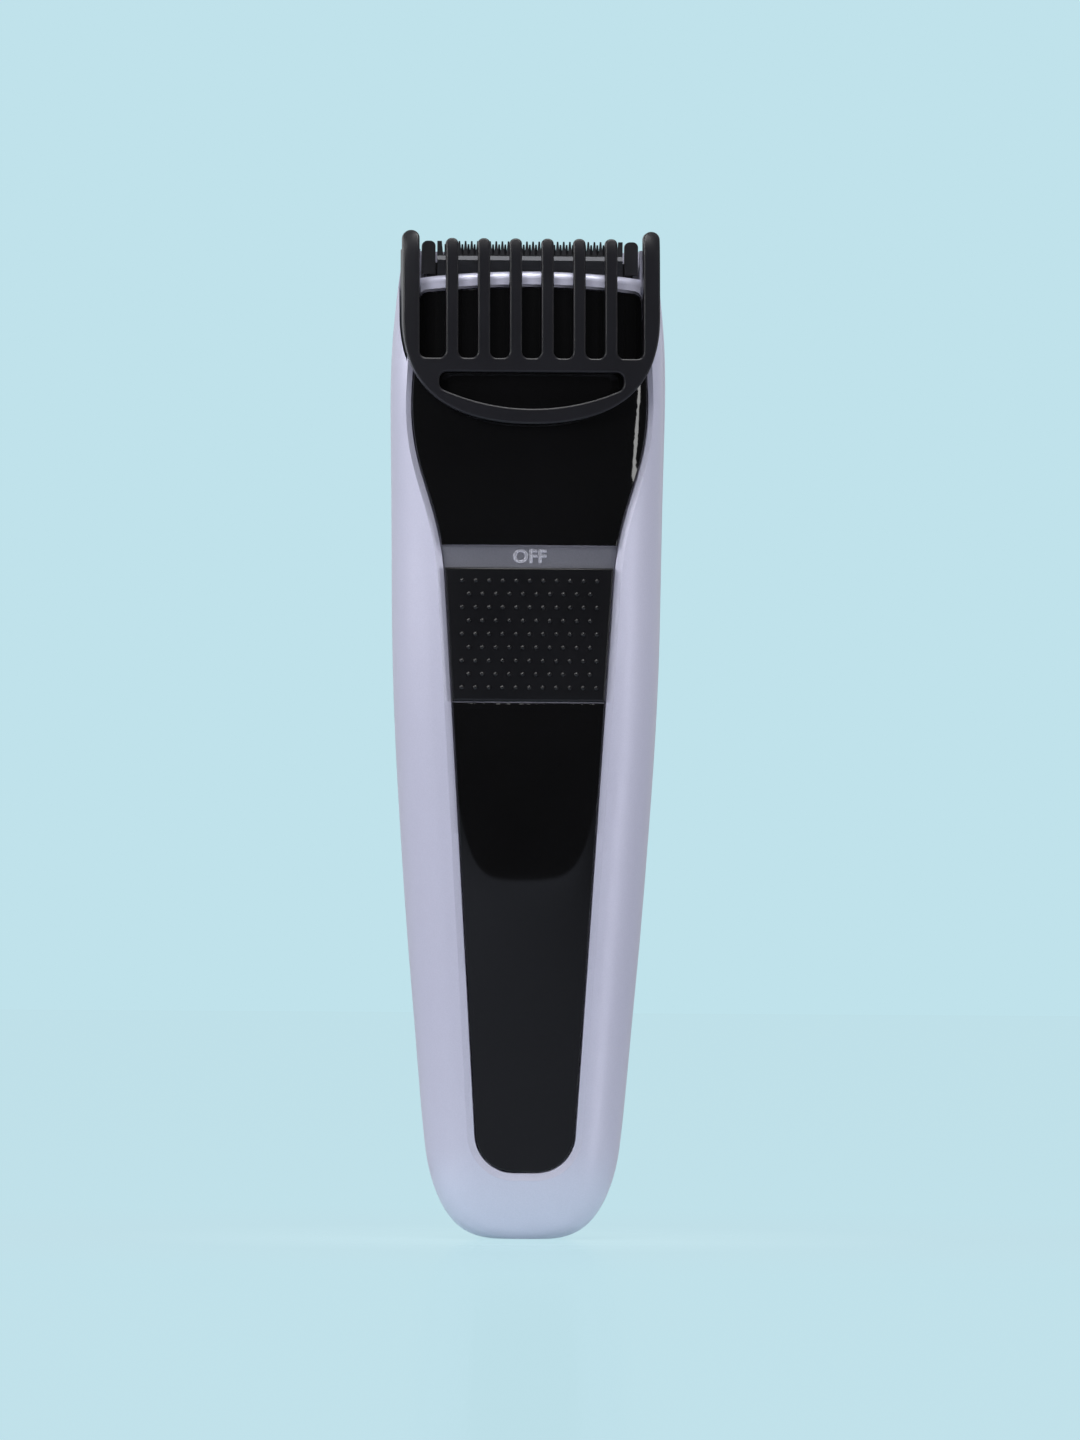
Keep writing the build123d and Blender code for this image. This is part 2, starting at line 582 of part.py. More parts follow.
def stem_slot():
    """The slot in the channel floor and the bed that the switch stem travels in."""
    half = STEM_WIDTH / 2 + STEM_CLEARANCE
    low = STEM_Z - STEM_LENGTH / 2 - STEM_CLEARANCE
    high = STEM_Z + STEM_LENGTH / 2 + SWITCH_TRAVEL + STEM_CLEARANCE
    return block((-half, half), (-FAR, STEM_END_Y), (low, high))


def switch_bed():
    """Thin silver strip on the channel floor that shows at one end of the switch or the other."""
    heights = (LOWER_PANEL_HIGH_Z + PANEL_GAP, UPPER_PANEL_LOW_Z - PANEL_GAP)
    low = CHANNEL_DEPTH - GLUE_GAP
    return inlay_piece(PANEL_GAP, low - BED_THICKNESS, low, heights) - stem_slot()


def power_switch():
    """Matte black thumb pad with a stem through the floor, forked at its end for the slide switch knob."""
    underside = SWITCH_RECESS + SWITCH_THICKNESS
    pad = inlay_piece(SWITCH_GAP, SWITCH_RECESS, underside, (SWITCH_LOW_Z, SWITCH_HIGH_Z))
    pad = round_front(pad, SWITCH_EDGE_ROUND)
    half = STEM_WIDTH / 2
    stem = block((-half, half), (-FAR, STEM_END_Y), (STEM_Z - STEM_LENGTH / 2, STEM_Z + STEM_LENGTH / 2))
    pad += stem & layer(underside - 0.4)
    fork = KNOB_LENGTH / 2 + 0.1
    return pad - block((-FAR, FAR), (STEM_END_Y - KNOB_HEIGHT, 0), (STEM_Z - fork, STEM_Z + fork))


def switch_clip():
    """Plastic plate pushed on to the stem from inside, which keeps the switch in its slot."""
    front = -casing_at(STEM_Z)[1] + FRONT_WALL + 0.7
    half = CLIP_WIDTH / 2
    heights = (STEM_Z - CLIP_LENGTH / 2, STEM_Z + CLIP_LENGTH / 2)
    clip = block((-half, half), (front, front + CLIP_THICKNESS), heights)
    clip = fillet(clip.edges().filter_by(Axis.Y), 1.5)
    width = STEM_WIDTH / 2 + SCREW_CLEARANCE
    length = STEM_LENGTH / 2 + SCREW_CLEARANCE
    return clip - block((-width, width), (-FAR, 0), (STEM_Z - length, STEM_Z + length))


def comb_face():
    """The comb's plate seen from the front: teeth and arms with round tips, slots with round roots, and the
    window above the lip."""
    inner = COMB_HALF_WIDTH - COMB_ARM_WIDTH
    gaps = Pos(0, (COMB_SLOT_Z + TOP_Z) / 2) * Rectangle(2 * inner, TOP_Z - COMB_SLOT_Z)
    tooth = Rectangle(COMB_TOOTH_WIDTH, COMB_TOOTH_TOP_Z - COMB_SLOT_Z)
    for k in range(COMB_TEETH):
        x = (k - (COMB_TEETH - 1) / 2) * COMB_TOOTH_PITCH
        gaps -= Pos(x, (COMB_SLOT_Z + COMB_TOOTH_TOP_Z) / 2) * tooth
    face = comb_outline() - gaps
    tips = [v for v in face.vertices() if abs(v.Y - COMB_TOOTH_TOP_Z) < 0.01 and abs(v.X) < inner]
    face = fillet(tips, COMB_TOOTH_WIDTH * 0.45)
    roots = [v for v in face.vertices() if abs(v.Y - COMB_SLOT_Z) < 0.01]
    face = fillet(roots, COMB_SLOT_ROUND)
    ends = [v for v in face.vertices() if v.Y > COMB_TOOTH_TOP_Z and abs(abs(v.X) - inner) < 0.01]
    face = fillet(ends, COMB_ARM_ROUND)
    end = (COMB_WINDOW_HALF_WIDTH, COMB_WINDOW_TOP_Z - COMB_WINDOW_END)
    window = make_face([
        Polyline(end, (end[0], COMB_WINDOW_TOP_Z), (-end[0], COMB_WINDOW_TOP_Z), (-end[0], end[1])),
        ThreePointArc((-end[0], end[1]), (0, COMB_WINDOW_LOW_Z), end),
    ])
    return face - fillet(window.vertices(), COMB_WINDOW_END * 0.48)


def guide_comb():
    """Sliding comb: a plate over the head, squarer at the sides, with teeth, a window and two legs."""
    wires = []
    steps = 8
    low = COMB_LIP_Z - 4
    heights = [low + (COMB_TIP_ROUND_Z - low) * k / steps for k in range(steps + 1)]
    rise = COMB_ARM_TOP_Z - COMB_TIP_ROUND_Z
    heights += [COMB_TIP_ROUND_Z + rise * share for share in (0.25, 0.5, 0.75, 0.92, 1.02)]
    for z in heights:
        reach = max(0.0, z - COMB_TIP_ROUND_Z) / rise
        swell = COMB_GAP + COMB_THICKNESS * math.sqrt(1 - 0.8 * reach ** 2)
        half_width, front, back = casing_at(z)[:3]
        wires.append(section(z, half_width + swell, front + swell, back, COMB_SQUARENESS))
    outer = Solid.make_loft(wires)
    solid = from_front(comb_outline()) & outer & block((-FAR, FAR), (-FAR, -COMB_GAP), (0, TOP_Z))
    plate = from_front(comb_face()) & outer & block((-FAR, FAR), (-FAR, COMB_ARM_BACK_Y), (0, TOP_Z))
    plate = round_front(plate - layer(-COMB_GAP), COMB_EDGE_ROUND)
    cheek = solid & block((CHEEK_HALF_WIDTH, FAR), (COMB_ARM_BACK_Y - 2, 0), (COMB_LIP_Z, HEAD_Z))
    leg = block(
        (LEG_HALF_WIDTH, CHEEK_HALF_WIDTH + 0.01),
        (LEG_Y - LEG_DEPTH / 2, LEG_Y + LEG_DEPTH / 2),
        (LEG_LOW_Z, HEAD_Z),
    )
    return plate + both_sides(cheek + leg)


def blade_teeth(width, tip, length):
    """The gaps between blade teeth, wide at the tips and narrow at the roots."""
    count = int(width / BLADE_TOOTH_PITCH) - 1
    gaps = []
    for k in range(count):
        x = (k - (count - 1) / 2) * BLADE_TOOTH_PITCH
        root = BLADE_GAP_ROOT / 2
        mouth = BLADE_GAP_MOUTH / 2
        low = [(x - root, tip - length), (x + root, tip - length)]
        high = [(x + mouth, tip), (x + mouth, tip + 1), (x - mouth, tip + 1), (x - mouth, tip)]
        gaps.append(make_face(Polyline(*low, *high, close=True)))
    return from_front(Sketch() + gaps)


def blade_holder():
    """Black frame in the head that carries the blades, with a rounded post at each end of them and a roof
    behind them that closes the head over the drive."""
    gap = WALL + HOLDER_GAP
    half = HOLDER_HALF_WIDTH
    room = block((-half, half), (-FAR, FAR), (PLATE_TOP_Z, HOLDER_TOP_Z))
    inside = body(gap, FRONT_WALL + HOLDER_GAP, gap)
    solid = room & inside
    pocket = BLADE_WIDTH / 2 + HOLDER_GAP
    yoke = YOKE_HALF_WIDTH + CUTTER_TRAVEL + 0.5
    seat = CUTTER_LOW_Z - 0.6
    solid -= block((-pocket, pocket), (-FAR, BLADE_BACK_Y), (BLADE_LOW_Z - HOLDER_GAP, TOP_Z))
    solid -= block((-pocket, pocket), (-FAR, CUTTER_BACK_Y + 0.6), (seat, TOP_Z))
    solid -= block((-yoke, yoke), (CUTTER_BACK_Y, HOLDER_REAR_Y), (PLATE_TOP_Z, TOP_Z))
    solid -= block((-yoke, yoke), (-FAR, 0), (BLADE_LOW_Z + 0.8, TOP_Z))
    heights = (HOLDER_TOP_Z - 0.2, HOLDER_TOP_Z + ROOF_THICKNESS)
    solid += block((-half, half), (CUTTER_BACK_Y + 0.6, FAR), heights) & inside
    depths = (BLADE_FRONT_Y, BLADE_FRONT_Y + POST_DEPTH)
    post = block((pocket, pocket + POST_WIDTH), depths, (HOLDER_TOP_Z - 0.4, POST_TOP_Z))
    post = fillet(post.edges().filter_by(Axis.Y).sort_by(Axis.Z)[-2:], POST_WIDTH * 0.4)
    solid += both_sides(post)
    hole = bar(BLADE_SCREW_X, BLADE_SCREW_Z, (-FAR, 0), SMALL_SCREW_HOLE)
    return solid - both_sides(hole)


def fixed_blade():
    """Steel comb blade screwed to the holder: a stiff ridge across it, ground thinner above the ridge."""
    half = BLADE_WIDTH / 2
    blade = block((-half, half), (BLADE_FRONT_Y, BLADE_BACK_Y), (BLADE_LOW_Z, BLADE_TIP_Z))
    grind = make_face(Polyline(
        (BLADE_FRONT_Y, BLADE_TIP_Z - 2 * BLADE_TOOTH_LENGTH),
        (BLADE_FRONT_Y + BLADE_THICKNESS * 0.6, BLADE_TIP_Z),
        (BLADE_FRONT_Y, BLADE_TIP_Z),
        close=True,
    ))
    blade -= extrude(Plane.YZ * grind, amount=half, both=True)
    ridge = make_face(Polyline(
        (BLADE_BACK_Y, BLADE_RIDGE_LOW_Z),
        (BLADE_FRONT_Y - BLADE_RIDGE, BLADE_RIDGE_LOW_Z),
        (BLADE_FRONT_Y - BLADE_RIDGE, BLADE_RIDGE_SLOPE_Z),
        (BLADE_FRONT_Y + BLADE_THICKNESS * 0.3, BLADE_RIDGE_HIGH_Z),
        (BLADE_BACK_Y, BLADE_RIDGE_HIGH_Z),
        close=True,
    ))
    blade += extrude(Plane.YZ * ridge, amount=half, both=True)
    blade -= blade_teeth(BLADE_WIDTH, BLADE_TIP_Z, BLADE_TOOTH_LENGTH)
    hole = bar(BLADE_SCREW_X, BLADE_SCREW_Z, (-FAR, 0), SMALL_SCREW_HOLE)
    return blade - both_sides(hole)


def moving_blade():
    """Steel cutter that slides from side to side behind the fixed blade."""
    half = CUTTER_WIDTH / 2
    tip = BLADE_TIP_Z - CUTTER_TIP_DROP
    blade = block((-half, half), (CUTTER_FRONT_Y, CUTTER_BACK_Y), (CUTTER_LOW_Z, tip))
    blade -= blade_teeth(CUTTER_WIDTH, tip, BLADE_TOOTH_LENGTH)
    hole = bar(RIVET_X, RIVET_Z, (-FAR, 0), RIVET_DIAMETER + 2 * SCREW_CLEARANCE)
    return blade - both_sides(hole)


def cutter_yoke():
    """Plastic yoke riveted to the moving blade; the eccentric's pin turns in its slot."""
    wall_back = CUTTER_BACK_Y + YOKE_WALL
    yoke = block((-YOKE_HALF_WIDTH, YOKE_HALF_WIDTH), (CUTTER_BACK_Y, wall_back), (YOKE_LOW_Z, YOKE_WALL_Z))
    arm = YOKE_SLOT_HALF_WIDTH + YOKE_WALL
    yoke += block((-arm, arm), (CUTTER_BACK_Y, YOKE_REAR_Y), (YOKE_LOW_Z, YOKE_HIGH_Z))
    slot = (MOTOR_Y - YOKE_SLOT_HALF_DEPTH, MOTOR_Y + YOKE_SLOT_HALF_DEPTH)
    yoke -= block((-YOKE_SLOT_HALF_WIDTH, YOKE_SLOT_HALF_WIDTH), slot, (YOKE_LOW_Z, YOKE_HIGH_Z))
    hole = bar(RIVET_X, RIVET_Z, (-FAR, wall_back), RIVET_DIAMETER + 2 * SCREW_CLEARANCE)
    return yoke - both_sides(hole)


def yoke_rivets():
    """Two rivets, flush with the moving blade in front and headed behind the yoke's wall."""
    wall_back = CUTTER_BACK_Y + YOKE_WALL
    rivet = bar(RIVET_X, RIVET_Z, (CUTTER_FRONT_Y, wall_back), RIVET_DIAMETER)
    return both_sides(rivet + bar(RIVET_X, RIVET_Z, (wall_back, wall_back + 0.6), RIVET_DIAMETER + 1))


def blade_spring():
    """Bent wire from the holder's rear wall whose two ends press the yoke and the blade forward."""
    tip = CUTTER_BACK_Y + YOKE_WALL + RIB_GAP
    rear = HOLDER_REAR_Y - SPRING_WIRE / 2 - RIB_GAP
    half = SPRING_HALF_WIDTH
    corners = [(-half, tip, SPRING_Z), (-half, rear, SPRING_Z), (half, rear, SPRING_Z), (half, tip, SPRING_Z)]
    path = FilletPolyline(*corners, radius=2.5)
    return sweep(Plane(corners[0], z_dir=(0, 1, 0)) * Circle(SPRING_WIRE / 2), path=path)


def blade_screws():
    """Two small screws that hold the fixed blade on the holder."""
    part = screw(SMALL_SCREW_DIAMETER, BLADE_SCREW_LENGTH, SMALL_SCREW_HEAD, SMALL_SCREW_HEAD_HEIGHT)
    return both_sides(Pos(BLADE_SCREW_X, BLADE_FRONT_Y, BLADE_SCREW_Z) * Rot(90, 0, 0) * part)


def drive_plate():
    """Plate across the casing above the motor that keeps cut hair out of the works."""
    gap = WALL + HOLDER_GAP
    plate = block((-FAR, FAR), (-FAR, FAR), (MOTOR_TOP_Z, PLATE_TOP_Z))
    plate &= body(gap, FRONT_WALL + HOLDER_GAP, gap)
    plate -= column(0, MOTOR_Y, (0, TOP_Z), NOSE_DIAMETER + 2 * RIB_GAP)
    hole = column(MOTOR_SCREW_X, MOTOR_Y, (0, TOP_Z), SMALL_SCREW_HOLE)
    return plate - both_sides(hole)


def shaft_felt():
    """Felt ring on the plate round the motor's nose."""
    heights = (PLATE_TOP_Z, PLATE_TOP_Z + FELT_THICKNESS)
    ring = column(0, MOTOR_Y, heights, FELT_DIAMETER)
    return ring - column(0, MOTOR_Y, heights, NOSE_DIAMETER + 2 * RIB_GAP)


def motor_profile(gap=0.0):
    """The motor seen from above: round, with a flat in front and a flat behind."""
    return Circle(MOTOR_DIAMETER / 2 + gap) & Rectangle(FAR, MOTOR_FLATS + 2 * gap)


def motor_can():
    """Drawn steel can, open below, with a nose that holds the upper bush."""
    can = extrude(motor_profile(), amount=MOTOR_LENGTH)
    can -= extrude(motor_profile(-MOTOR_WALL), amount=MOTOR_LENGTH - MOTOR_WALL)
    can = Pos(0, MOTOR_Y, MOTOR_LOW_Z) * can
    can += column(0, MOTOR_Y, (MOTOR_TOP_Z, MOTOR_TOP_Z + BUSH_LENGTH - MOTOR_WALL), NOSE_DIAMETER)
    can -= column(0, MOTOR_Y, (MOTOR_TOP_Z - MOTOR_WALL, TOP_Z), BUSH_DIAMETER + 2 * SCREW_CLEARANCE)
    hole = column(MOTOR_SCREW_X, MOTOR_Y, (MOTOR_TOP_Z - 3, TOP_Z), SMALL_SCREW_HOLE)
    return can - both_sides(hole)


def motor_end_cap():
    """Plastic cap that closes the can below and holds the lower bush."""
    cap = Pos(0, MOTOR_Y, MOTOR_LOW_Z - END_CAP_LENGTH) * extrude(motor_profile(), amount=END_CAP_LENGTH)
    return cap - column(0, MOTOR_Y, (0, MOTOR_LOW_Z), BUSH_DIAMETER + 2 * SCREW_CLEARANCE)


def motor_bushes():
    """Two sintered bushes that the shaft runs in."""
    low = MOTOR_TOP_Z - MOTOR_WALL
    rings = column(0, MOTOR_Y, (low, low + BUSH_LENGTH), BUSH_DIAMETER)
    rings += column(0, MOTOR_Y, (MOTOR_LOW_Z - END_CAP_LENGTH, MOTOR_LOW_Z), BUSH_DIAMETER)
    return rings - column(0, MOTOR_Y, (0, TOP_Z), SHAFT_DIAMETER + 2 * RUNNING_CLEARANCE)


def motor_magnets():
    """Two curved magnets inside the can, left and right of the armature."""
    outer = MOTOR_DIAMETER - 2 * MOTOR_WALL - 2 * SCREW_CLEARANCE
    heights = (ARMATURE_LOW_Z, ARMATURE_LOW_Z + ARMATURE_LENGTH)
    ring = column(0, MOTOR_Y, heights, outer) - column(0, MOTOR_Y, heights, outer - 2 * MAGNET_THICKNESS)
    return ring & block((-FAR, FAR), (MOTOR_Y - MAGNET_SPAN / 2, MOTOR_Y + MAGNET_SPAN / 2), heights)


def armature():
    """Laminated rotor with three wound slots, on the shaft."""
    heights = (ARMATURE_LOW_Z, ARMATURE_LOW_Z + ARMATURE_LENGTH)
    core = column(0, 0, heights, ARMATURE_DIAMETER)
    radius = ARMATURE_DIAMETER / 2
    for turn in (0, 120, 240):
        core -= Rot(0, 0, turn) * block((radius * 0.55, radius * 2), (-0.9, 0.9), heights)
    return Pos(0, MOTOR_Y, 0) * (core - column(0, 0, heights, SHAFT_DIAMETER + 2 * PRESS_GAP))


def commutator():
    """Copper commutator on the shaft under the armature."""
    low = MOTOR_LOW_Z + COMMUTATOR_RISE
    heights = (low, low + COMMUTATOR_LENGTH)
    ring = column(0, 0, heights, COMMUTATOR_DIAMETER) - column(0, 0, heights, SHAFT_DIAMETER + 2 * PRESS_GAP)
    for turn in (0, 120, 240):
        ring -= Rot(0, 0, turn) * block((COMMUTATOR_DIAMETER * 0.4, FAR), (-0.15, 0.15), heights)
    return Pos(0, MOTOR_Y, 0) * ring


def motor_shaft():
    """Steel shaft from under the end cap up into the eccentric."""
    return column(0, MOTOR_Y, (MOTOR_LOW_Z - END_CAP_LENGTH - 0.8, HUB_HIGH_Z - 1), SHAFT_DIAMETER)


def eccentric():
    """Hub pressed on the shaft, with a pin set off centre by the blade's travel."""
    hub = column(0, MOTOR_Y, (HUB_LOW_Z, HUB_HIGH_Z), HUB_DIAMETER)
    hub -= column(0, MOTOR_Y, (HUB_LOW_Z, HUB_HIGH_Z - 1), SHAFT_DIAMETER + 2 * PRESS_GAP)
    return hub + column(0, MOTOR_Y + CUTTER_TRAVEL, (HUB_HIGH_Z, PIN_HIGH_Z), PIN_DIAMETER)


def motor_terminals():
    """Two brass tags under the end cap."""
    high = MOTOR_LOW_Z - END_CAP_LENGTH
    half = TAG_THICKNESS / 2
    across = (TAG_X - TAG_WIDTH / 2, TAG_X + TAG_WIDTH / 2)
    return both_sides(block(across, (MOTOR_Y - half, MOTOR_Y + half), (high - TAG_LENGTH, high)))


def motor_screws():
    """Two screws through the plate into the motor's face."""
    part = screw(SMALL_SCREW_DIAMETER, MOTOR_SCREW_LENGTH, SMALL_SCREW_HEAD, SMALL_SCREW_HEAD_HEIGHT)
    return both_sides(Pos(MOTOR_SCREW_X, MOTOR_Y, PLATE_TOP_Z) * part)


def battery_cell():
    """One rechargeable cell of penlight size, with a raised positive end on top."""
    cell = column(0, BATTERY_Y, (BATTERY_LOW_Z, BATTERY_HIGH_Z), BATTERY_DIAMETER)
    cell = fillet(cell.edges().filter_by(GeomType.CIRCLE), 0.8)
    return cell + column(0, BATTERY_Y, (BATTERY_HIGH_Z, BATTERY_HIGH_Z + NUB_HEIGHT), NUB_DIAMETER)


def battery_tabs():
    """Nickel strips welded to both ends of the cell, reaching forward to the leads."""
    half = TAB_WIDTH / 2
    high = BATTERY_HIGH_Z + NUB_HEIGHT
    reach = (BATTERY_Y - BATTERY_DIAMETER / 2 + 1, BATTERY_Y + half)
    return block((-half, half), reach, (high, high + TAB_THICKNESS)) + block(
        (-half, half), reach, (BATTERY_LOW_Z - TAB_THICKNESS, BATTERY_LOW_Z)
    )


def main_board():
    """Circuit board on four standoffs behind the switch."""
    half = BOARD_HALF_WIDTH
    board = block((-half, half), (BOARD_FRONT_Y, BOARD_BACK_Y), (BOARD_LOW_Z, BOARD_HIGH_Z))
    holes = [bar(x, z, (-FAR, 0), SMALL_SCREW_HOLE) for x, z in STANDOFF_PLACES]
    return board - holes


def board_screws():
    """Four screws that hold the board on its standoffs."""
    part = screw(SMALL_SCREW_DIAMETER, BOARD_SCREW_LENGTH, SMALL_SCREW_HEAD, SMALL_SCREW_HEAD_HEIGHT)
    return Part() + [Pos(x, BOARD_BACK_Y, z) * Rot(-90, 0, 0) * part for x, z in STANDOFF_PLACES]


def board_chips():
    """Charge controller, transistor and capacitor on the back of the board."""
    half = CHIP_SIZE / 2
    low = CHIP_Z - TRANSISTOR_WIDTH / 2
    across = (CHIP_SPACING - TRANSISTOR_LENGTH / 2, CHIP_SPACING + TRANSISTOR_LENGTH / 2)
    chips = block((-half, half), (BOARD_BACK_Y, BOARD_BACK_Y + CHIP_HEIGHT), (CHIP_Z - half, CHIP_Z + half))
    chips += block(across, (BOARD_BACK_Y, BOARD_BACK_Y + CHIP_HEIGHT), (low, low + TRANSISTOR_WIDTH))
    depths = (BOARD_BACK_Y, BOARD_BACK_Y + CAPACITOR_HEIGHT)
    return chips + bar(-CHIP_SPACING, CHIP_Z, depths, CAPACITOR_DIAMETER)


def slide_switch():
    """Small electrical slide switch on the front of the board."""
    half = SLIDER_WIDTH / 2
    middle = STEM_Z + SWITCH_TRAVEL / 2
    front = BOARD_FRONT_Y - SLIDER_HEIGHT
    heights = (middle - SLIDER_LENGTH / 2, middle + SLIDER_LENGTH / 2)
    return block((-half, half), (front, BOARD_FRONT_Y), heights)


def slide_switch_knob():
    """Knob of the electrical switch, held in the fork of the stem."""
    front = BOARD_FRONT_Y - SLIDER_HEIGHT
    heights = (STEM_Z - KNOB_LENGTH / 2, STEM_Z + KNOB_LENGTH / 2)
    return block((-KNOB_WIDTH / 2, KNOB_WIDTH / 2), (front - KNOB_HEIGHT, front - RUNNING_CLEARANCE), heights)


def charge_board():
    """Small board behind the charging socket."""
    half = CHARGE_BOARD_WIDTH / 2
    depths = (CHARGE_BOARD_FRONT_Y, CHARGE_BOARD_BACK_Y)
    return block((-half, half), depths, (CHARGE_BOARD_LOW_Z, CHARGE_BOARD_HIGH_Z))


def charging_socket():
    """Steel shell of a micro-USB socket that faces down through the foot."""
    shell = extrude(RectangleRounded(SOCKET_WIDTH, SOCKET_DEPTH, 0.5), amount=SOCKET_LENGTH)
    hollow = RectangleRounded(SOCKET_WIDTH - 2 * SOCKET_WALL, SOCKET_DEPTH - 2 * SOCKET_WALL, 0.3)
    return Pos(0, 0, SOCKET_MOUTH_Z) * (shell - extrude(hollow, amount=SOCKET_LENGTH - SOCKET_WALL))


def socket_tongue():
    """Plastic tongue with the contacts, inside the socket."""
    half = SOCKET_TONGUE_WIDTH / 2
    high = SOCKET_MOUTH_Z + SOCKET_LENGTH - SOCKET_WALL
    depth = SOCKET_TONGUE_DEPTH / 2
    return block((-half, half), (-depth, depth), (SOCKET_MOUTH_Z + 1, high))


def lead(corners, bends):
    """An insulated wire along straight runs joined by arcs."""
    path = FilletPolyline(*corners, radius=bends)
    start = Plane(corners[0], z_dir=Vector(*corners[1]) - Vector(*corners[0]))
    return sweep(start * Circle(LEAD_DIAMETER / 2), path=path)


def battery_lead(end_z, board_z, x):
    """A lead from a battery tab forward, then up in front of the cell, then back to the board."""
    start_y = BATTERY_Y - BATTERY_DIAMETER / 2 + 3.5
    end_y = BOARD_BACK_Y + LEAD_END_GAP
    corners = [(x, start_y, end_z), (x, LEAD_RUN_Y, end_z), (x, LEAD_RUN_Y, board_z), (x, end_y, board_z)]
    return lead(corners, [1.5, (LEAD_RUN_Y - end_y) * 0.7])


def battery_lead_red():
    """Positive lead of the cell."""
    tab = BATTERY_HIGH_Z + NUB_HEIGHT + TAB_THICKNESS
    return battery_lead(tab + LEAD_DIAMETER / 2 + LEAD_END_GAP, BOARD_LOW_Z + 4, -BATTERY_LEAD_X)


def battery_lead_black():
    """Negative lead of the cell."""
    tab = BATTERY_LOW_Z - TAB_THICKNESS
    return battery_lead(tab - LEAD_DIAMETER / 2 - LEAD_END_GAP, BOARD_LOW_Z + 4, BATTERY_LEAD_X)


def motor_lead(x):
    """A lead from a motor tag down and forward to the board."""
    high = MOTOR_LOW_Z - END_CAP_LENGTH - TAG_LENGTH - LEAD_END_GAP
    corners = [(x, MOTOR_Y, high), (x, MOTOR_Y, high - 4.5), (x, BOARD_BACK_Y + LEAD_END_GAP, high - 4.5)]
    return lead(corners, [3.0])


def motor_lead_red():
    """Positive lead of the motor."""
    return motor_lead(-TAG_X)


def motor_lead_black():
    """Negative lead of the motor."""
    return motor_lead(TAG_X)


def charge_lead(x):
    """A lead from the charge board forward, then up in front of the cell, then back to the main board."""
    low = CHARGE_BOARD_HIGH_Z - 1.5
    high = BOARD_LOW_Z + 6
    end_y = BOARD_BACK_Y + LEAD_END_GAP
    start_y = CHARGE_BOARD_FRONT_Y - LEAD_END_GAP
    corners = [(x, start_y, low), (x, LEAD_RUN_Y, low), (x, LEAD_RUN_Y, high), (x, end_y, high)]
    return lead(corners, [2.5, (LEAD_RUN_Y - end_y) * 0.7])


def charge_lead_red():
    """Positive lead from the charging socket."""
    return charge_lead(-CHARGE_LEAD_X)


def charge_lead_black():
    """Negative lead from the charging socket."""
    return charge_lead(CHARGE_LEAD_X)


def casing_screws():
    """Four screws in the wells of the rear shell that hold the two shells together."""
    part = screw(CASING_SCREW_DIAMETER, CASING_SCREW_LENGTH, CASING_SCREW_HEAD, CASING_SCREW_HEAD_HEIGHT)
    return Part() + [Pos(x, CASING_SCREW_SEAT_Y, z) * Rot(-90, 0, 0) * part for x, z in CASING_SCREW_PLACES]


PIECES = [
    front_shell, rear_shell, upper_panel, lower_panel, switch_bed, foot_bezel, casing_screws,
    power_switch, switch_clip, slide_switch_knob, guide_comb,
    blade_holder, fixed_blade, blade_screws, blade_spring, moving_blade, cutter_yoke, yoke_rivets,
    drive_plate, shaft_felt, motor_can, motor_end_cap, motor_bushes, motor_magnets, motor_terminals,
    motor_screws, armature, commutator, motor_shaft, eccentric,
    battery_cell, battery_tabs, main_board, board_screws, board_chips, slide_switch,
    charge_board, charging_socket, socket_tongue,
    battery_lead_red, battery_lead_black, motor_lead_red, motor_lead_black,
    charge_lead_red, charge_lead_black,
]

os.makedirs("parts", exist_ok=True)
for piece in PIECES:
    export_step(piece(), "parts/" + piece.__name__ + ".step")
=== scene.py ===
import math

import bpy
import numpy as np
from mathutils import Matrix, Vector


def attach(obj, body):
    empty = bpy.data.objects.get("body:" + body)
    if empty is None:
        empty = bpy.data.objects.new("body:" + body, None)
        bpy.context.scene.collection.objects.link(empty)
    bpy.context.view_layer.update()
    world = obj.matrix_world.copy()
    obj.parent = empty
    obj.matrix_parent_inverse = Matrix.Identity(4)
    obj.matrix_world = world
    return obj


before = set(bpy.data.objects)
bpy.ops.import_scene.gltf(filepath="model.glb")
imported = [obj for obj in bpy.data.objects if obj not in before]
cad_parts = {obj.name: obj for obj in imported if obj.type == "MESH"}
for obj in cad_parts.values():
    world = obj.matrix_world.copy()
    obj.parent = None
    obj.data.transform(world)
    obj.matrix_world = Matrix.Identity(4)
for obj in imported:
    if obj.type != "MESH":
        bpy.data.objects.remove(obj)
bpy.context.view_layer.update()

MM = 0.001

# Rear and front shell: two moulded ABS halves that meet on a seam down the sides, sprayed with a satin
# silver paint that leans to lavender. Four screws from behind hold them together round the works.
PAINT_SILVER = "bcbcce"
PAINT_SHADE = "b0b1c3"
FLAKE = 0.22 * MM  # real flake is finer; this is as coarse as it needs to show
ORANGE_PEEL = 1.4 * MM
PEEL_DEPTH = 0.02 * MM
PEEL_STRENGTH = 0.25


def linear(code):
    """An sRGB hex colour as linear RGBA: the straight toe below 0.04045, the 2.4 power above it."""
    value = np.array([int(code[i:i + 2], 16) for i in (0, 2, 4)]) / 255
    curve = np.where(value <= 0.04045, value / 12.92, ((value + 0.055) / 1.055) ** 2.4)
    return (*curve.tolist(), 1.0)


def finish(name, sockets):
    """A new material named for what it is made of, with its plain values set on the shader's own sockets."""
    material = bpy.data.materials.new(name)
    material.use_nodes = True
    for socket, value in sockets.items():
        material.node_tree.nodes["Principled BSDF"].inputs[socket].default_value = value
    return material


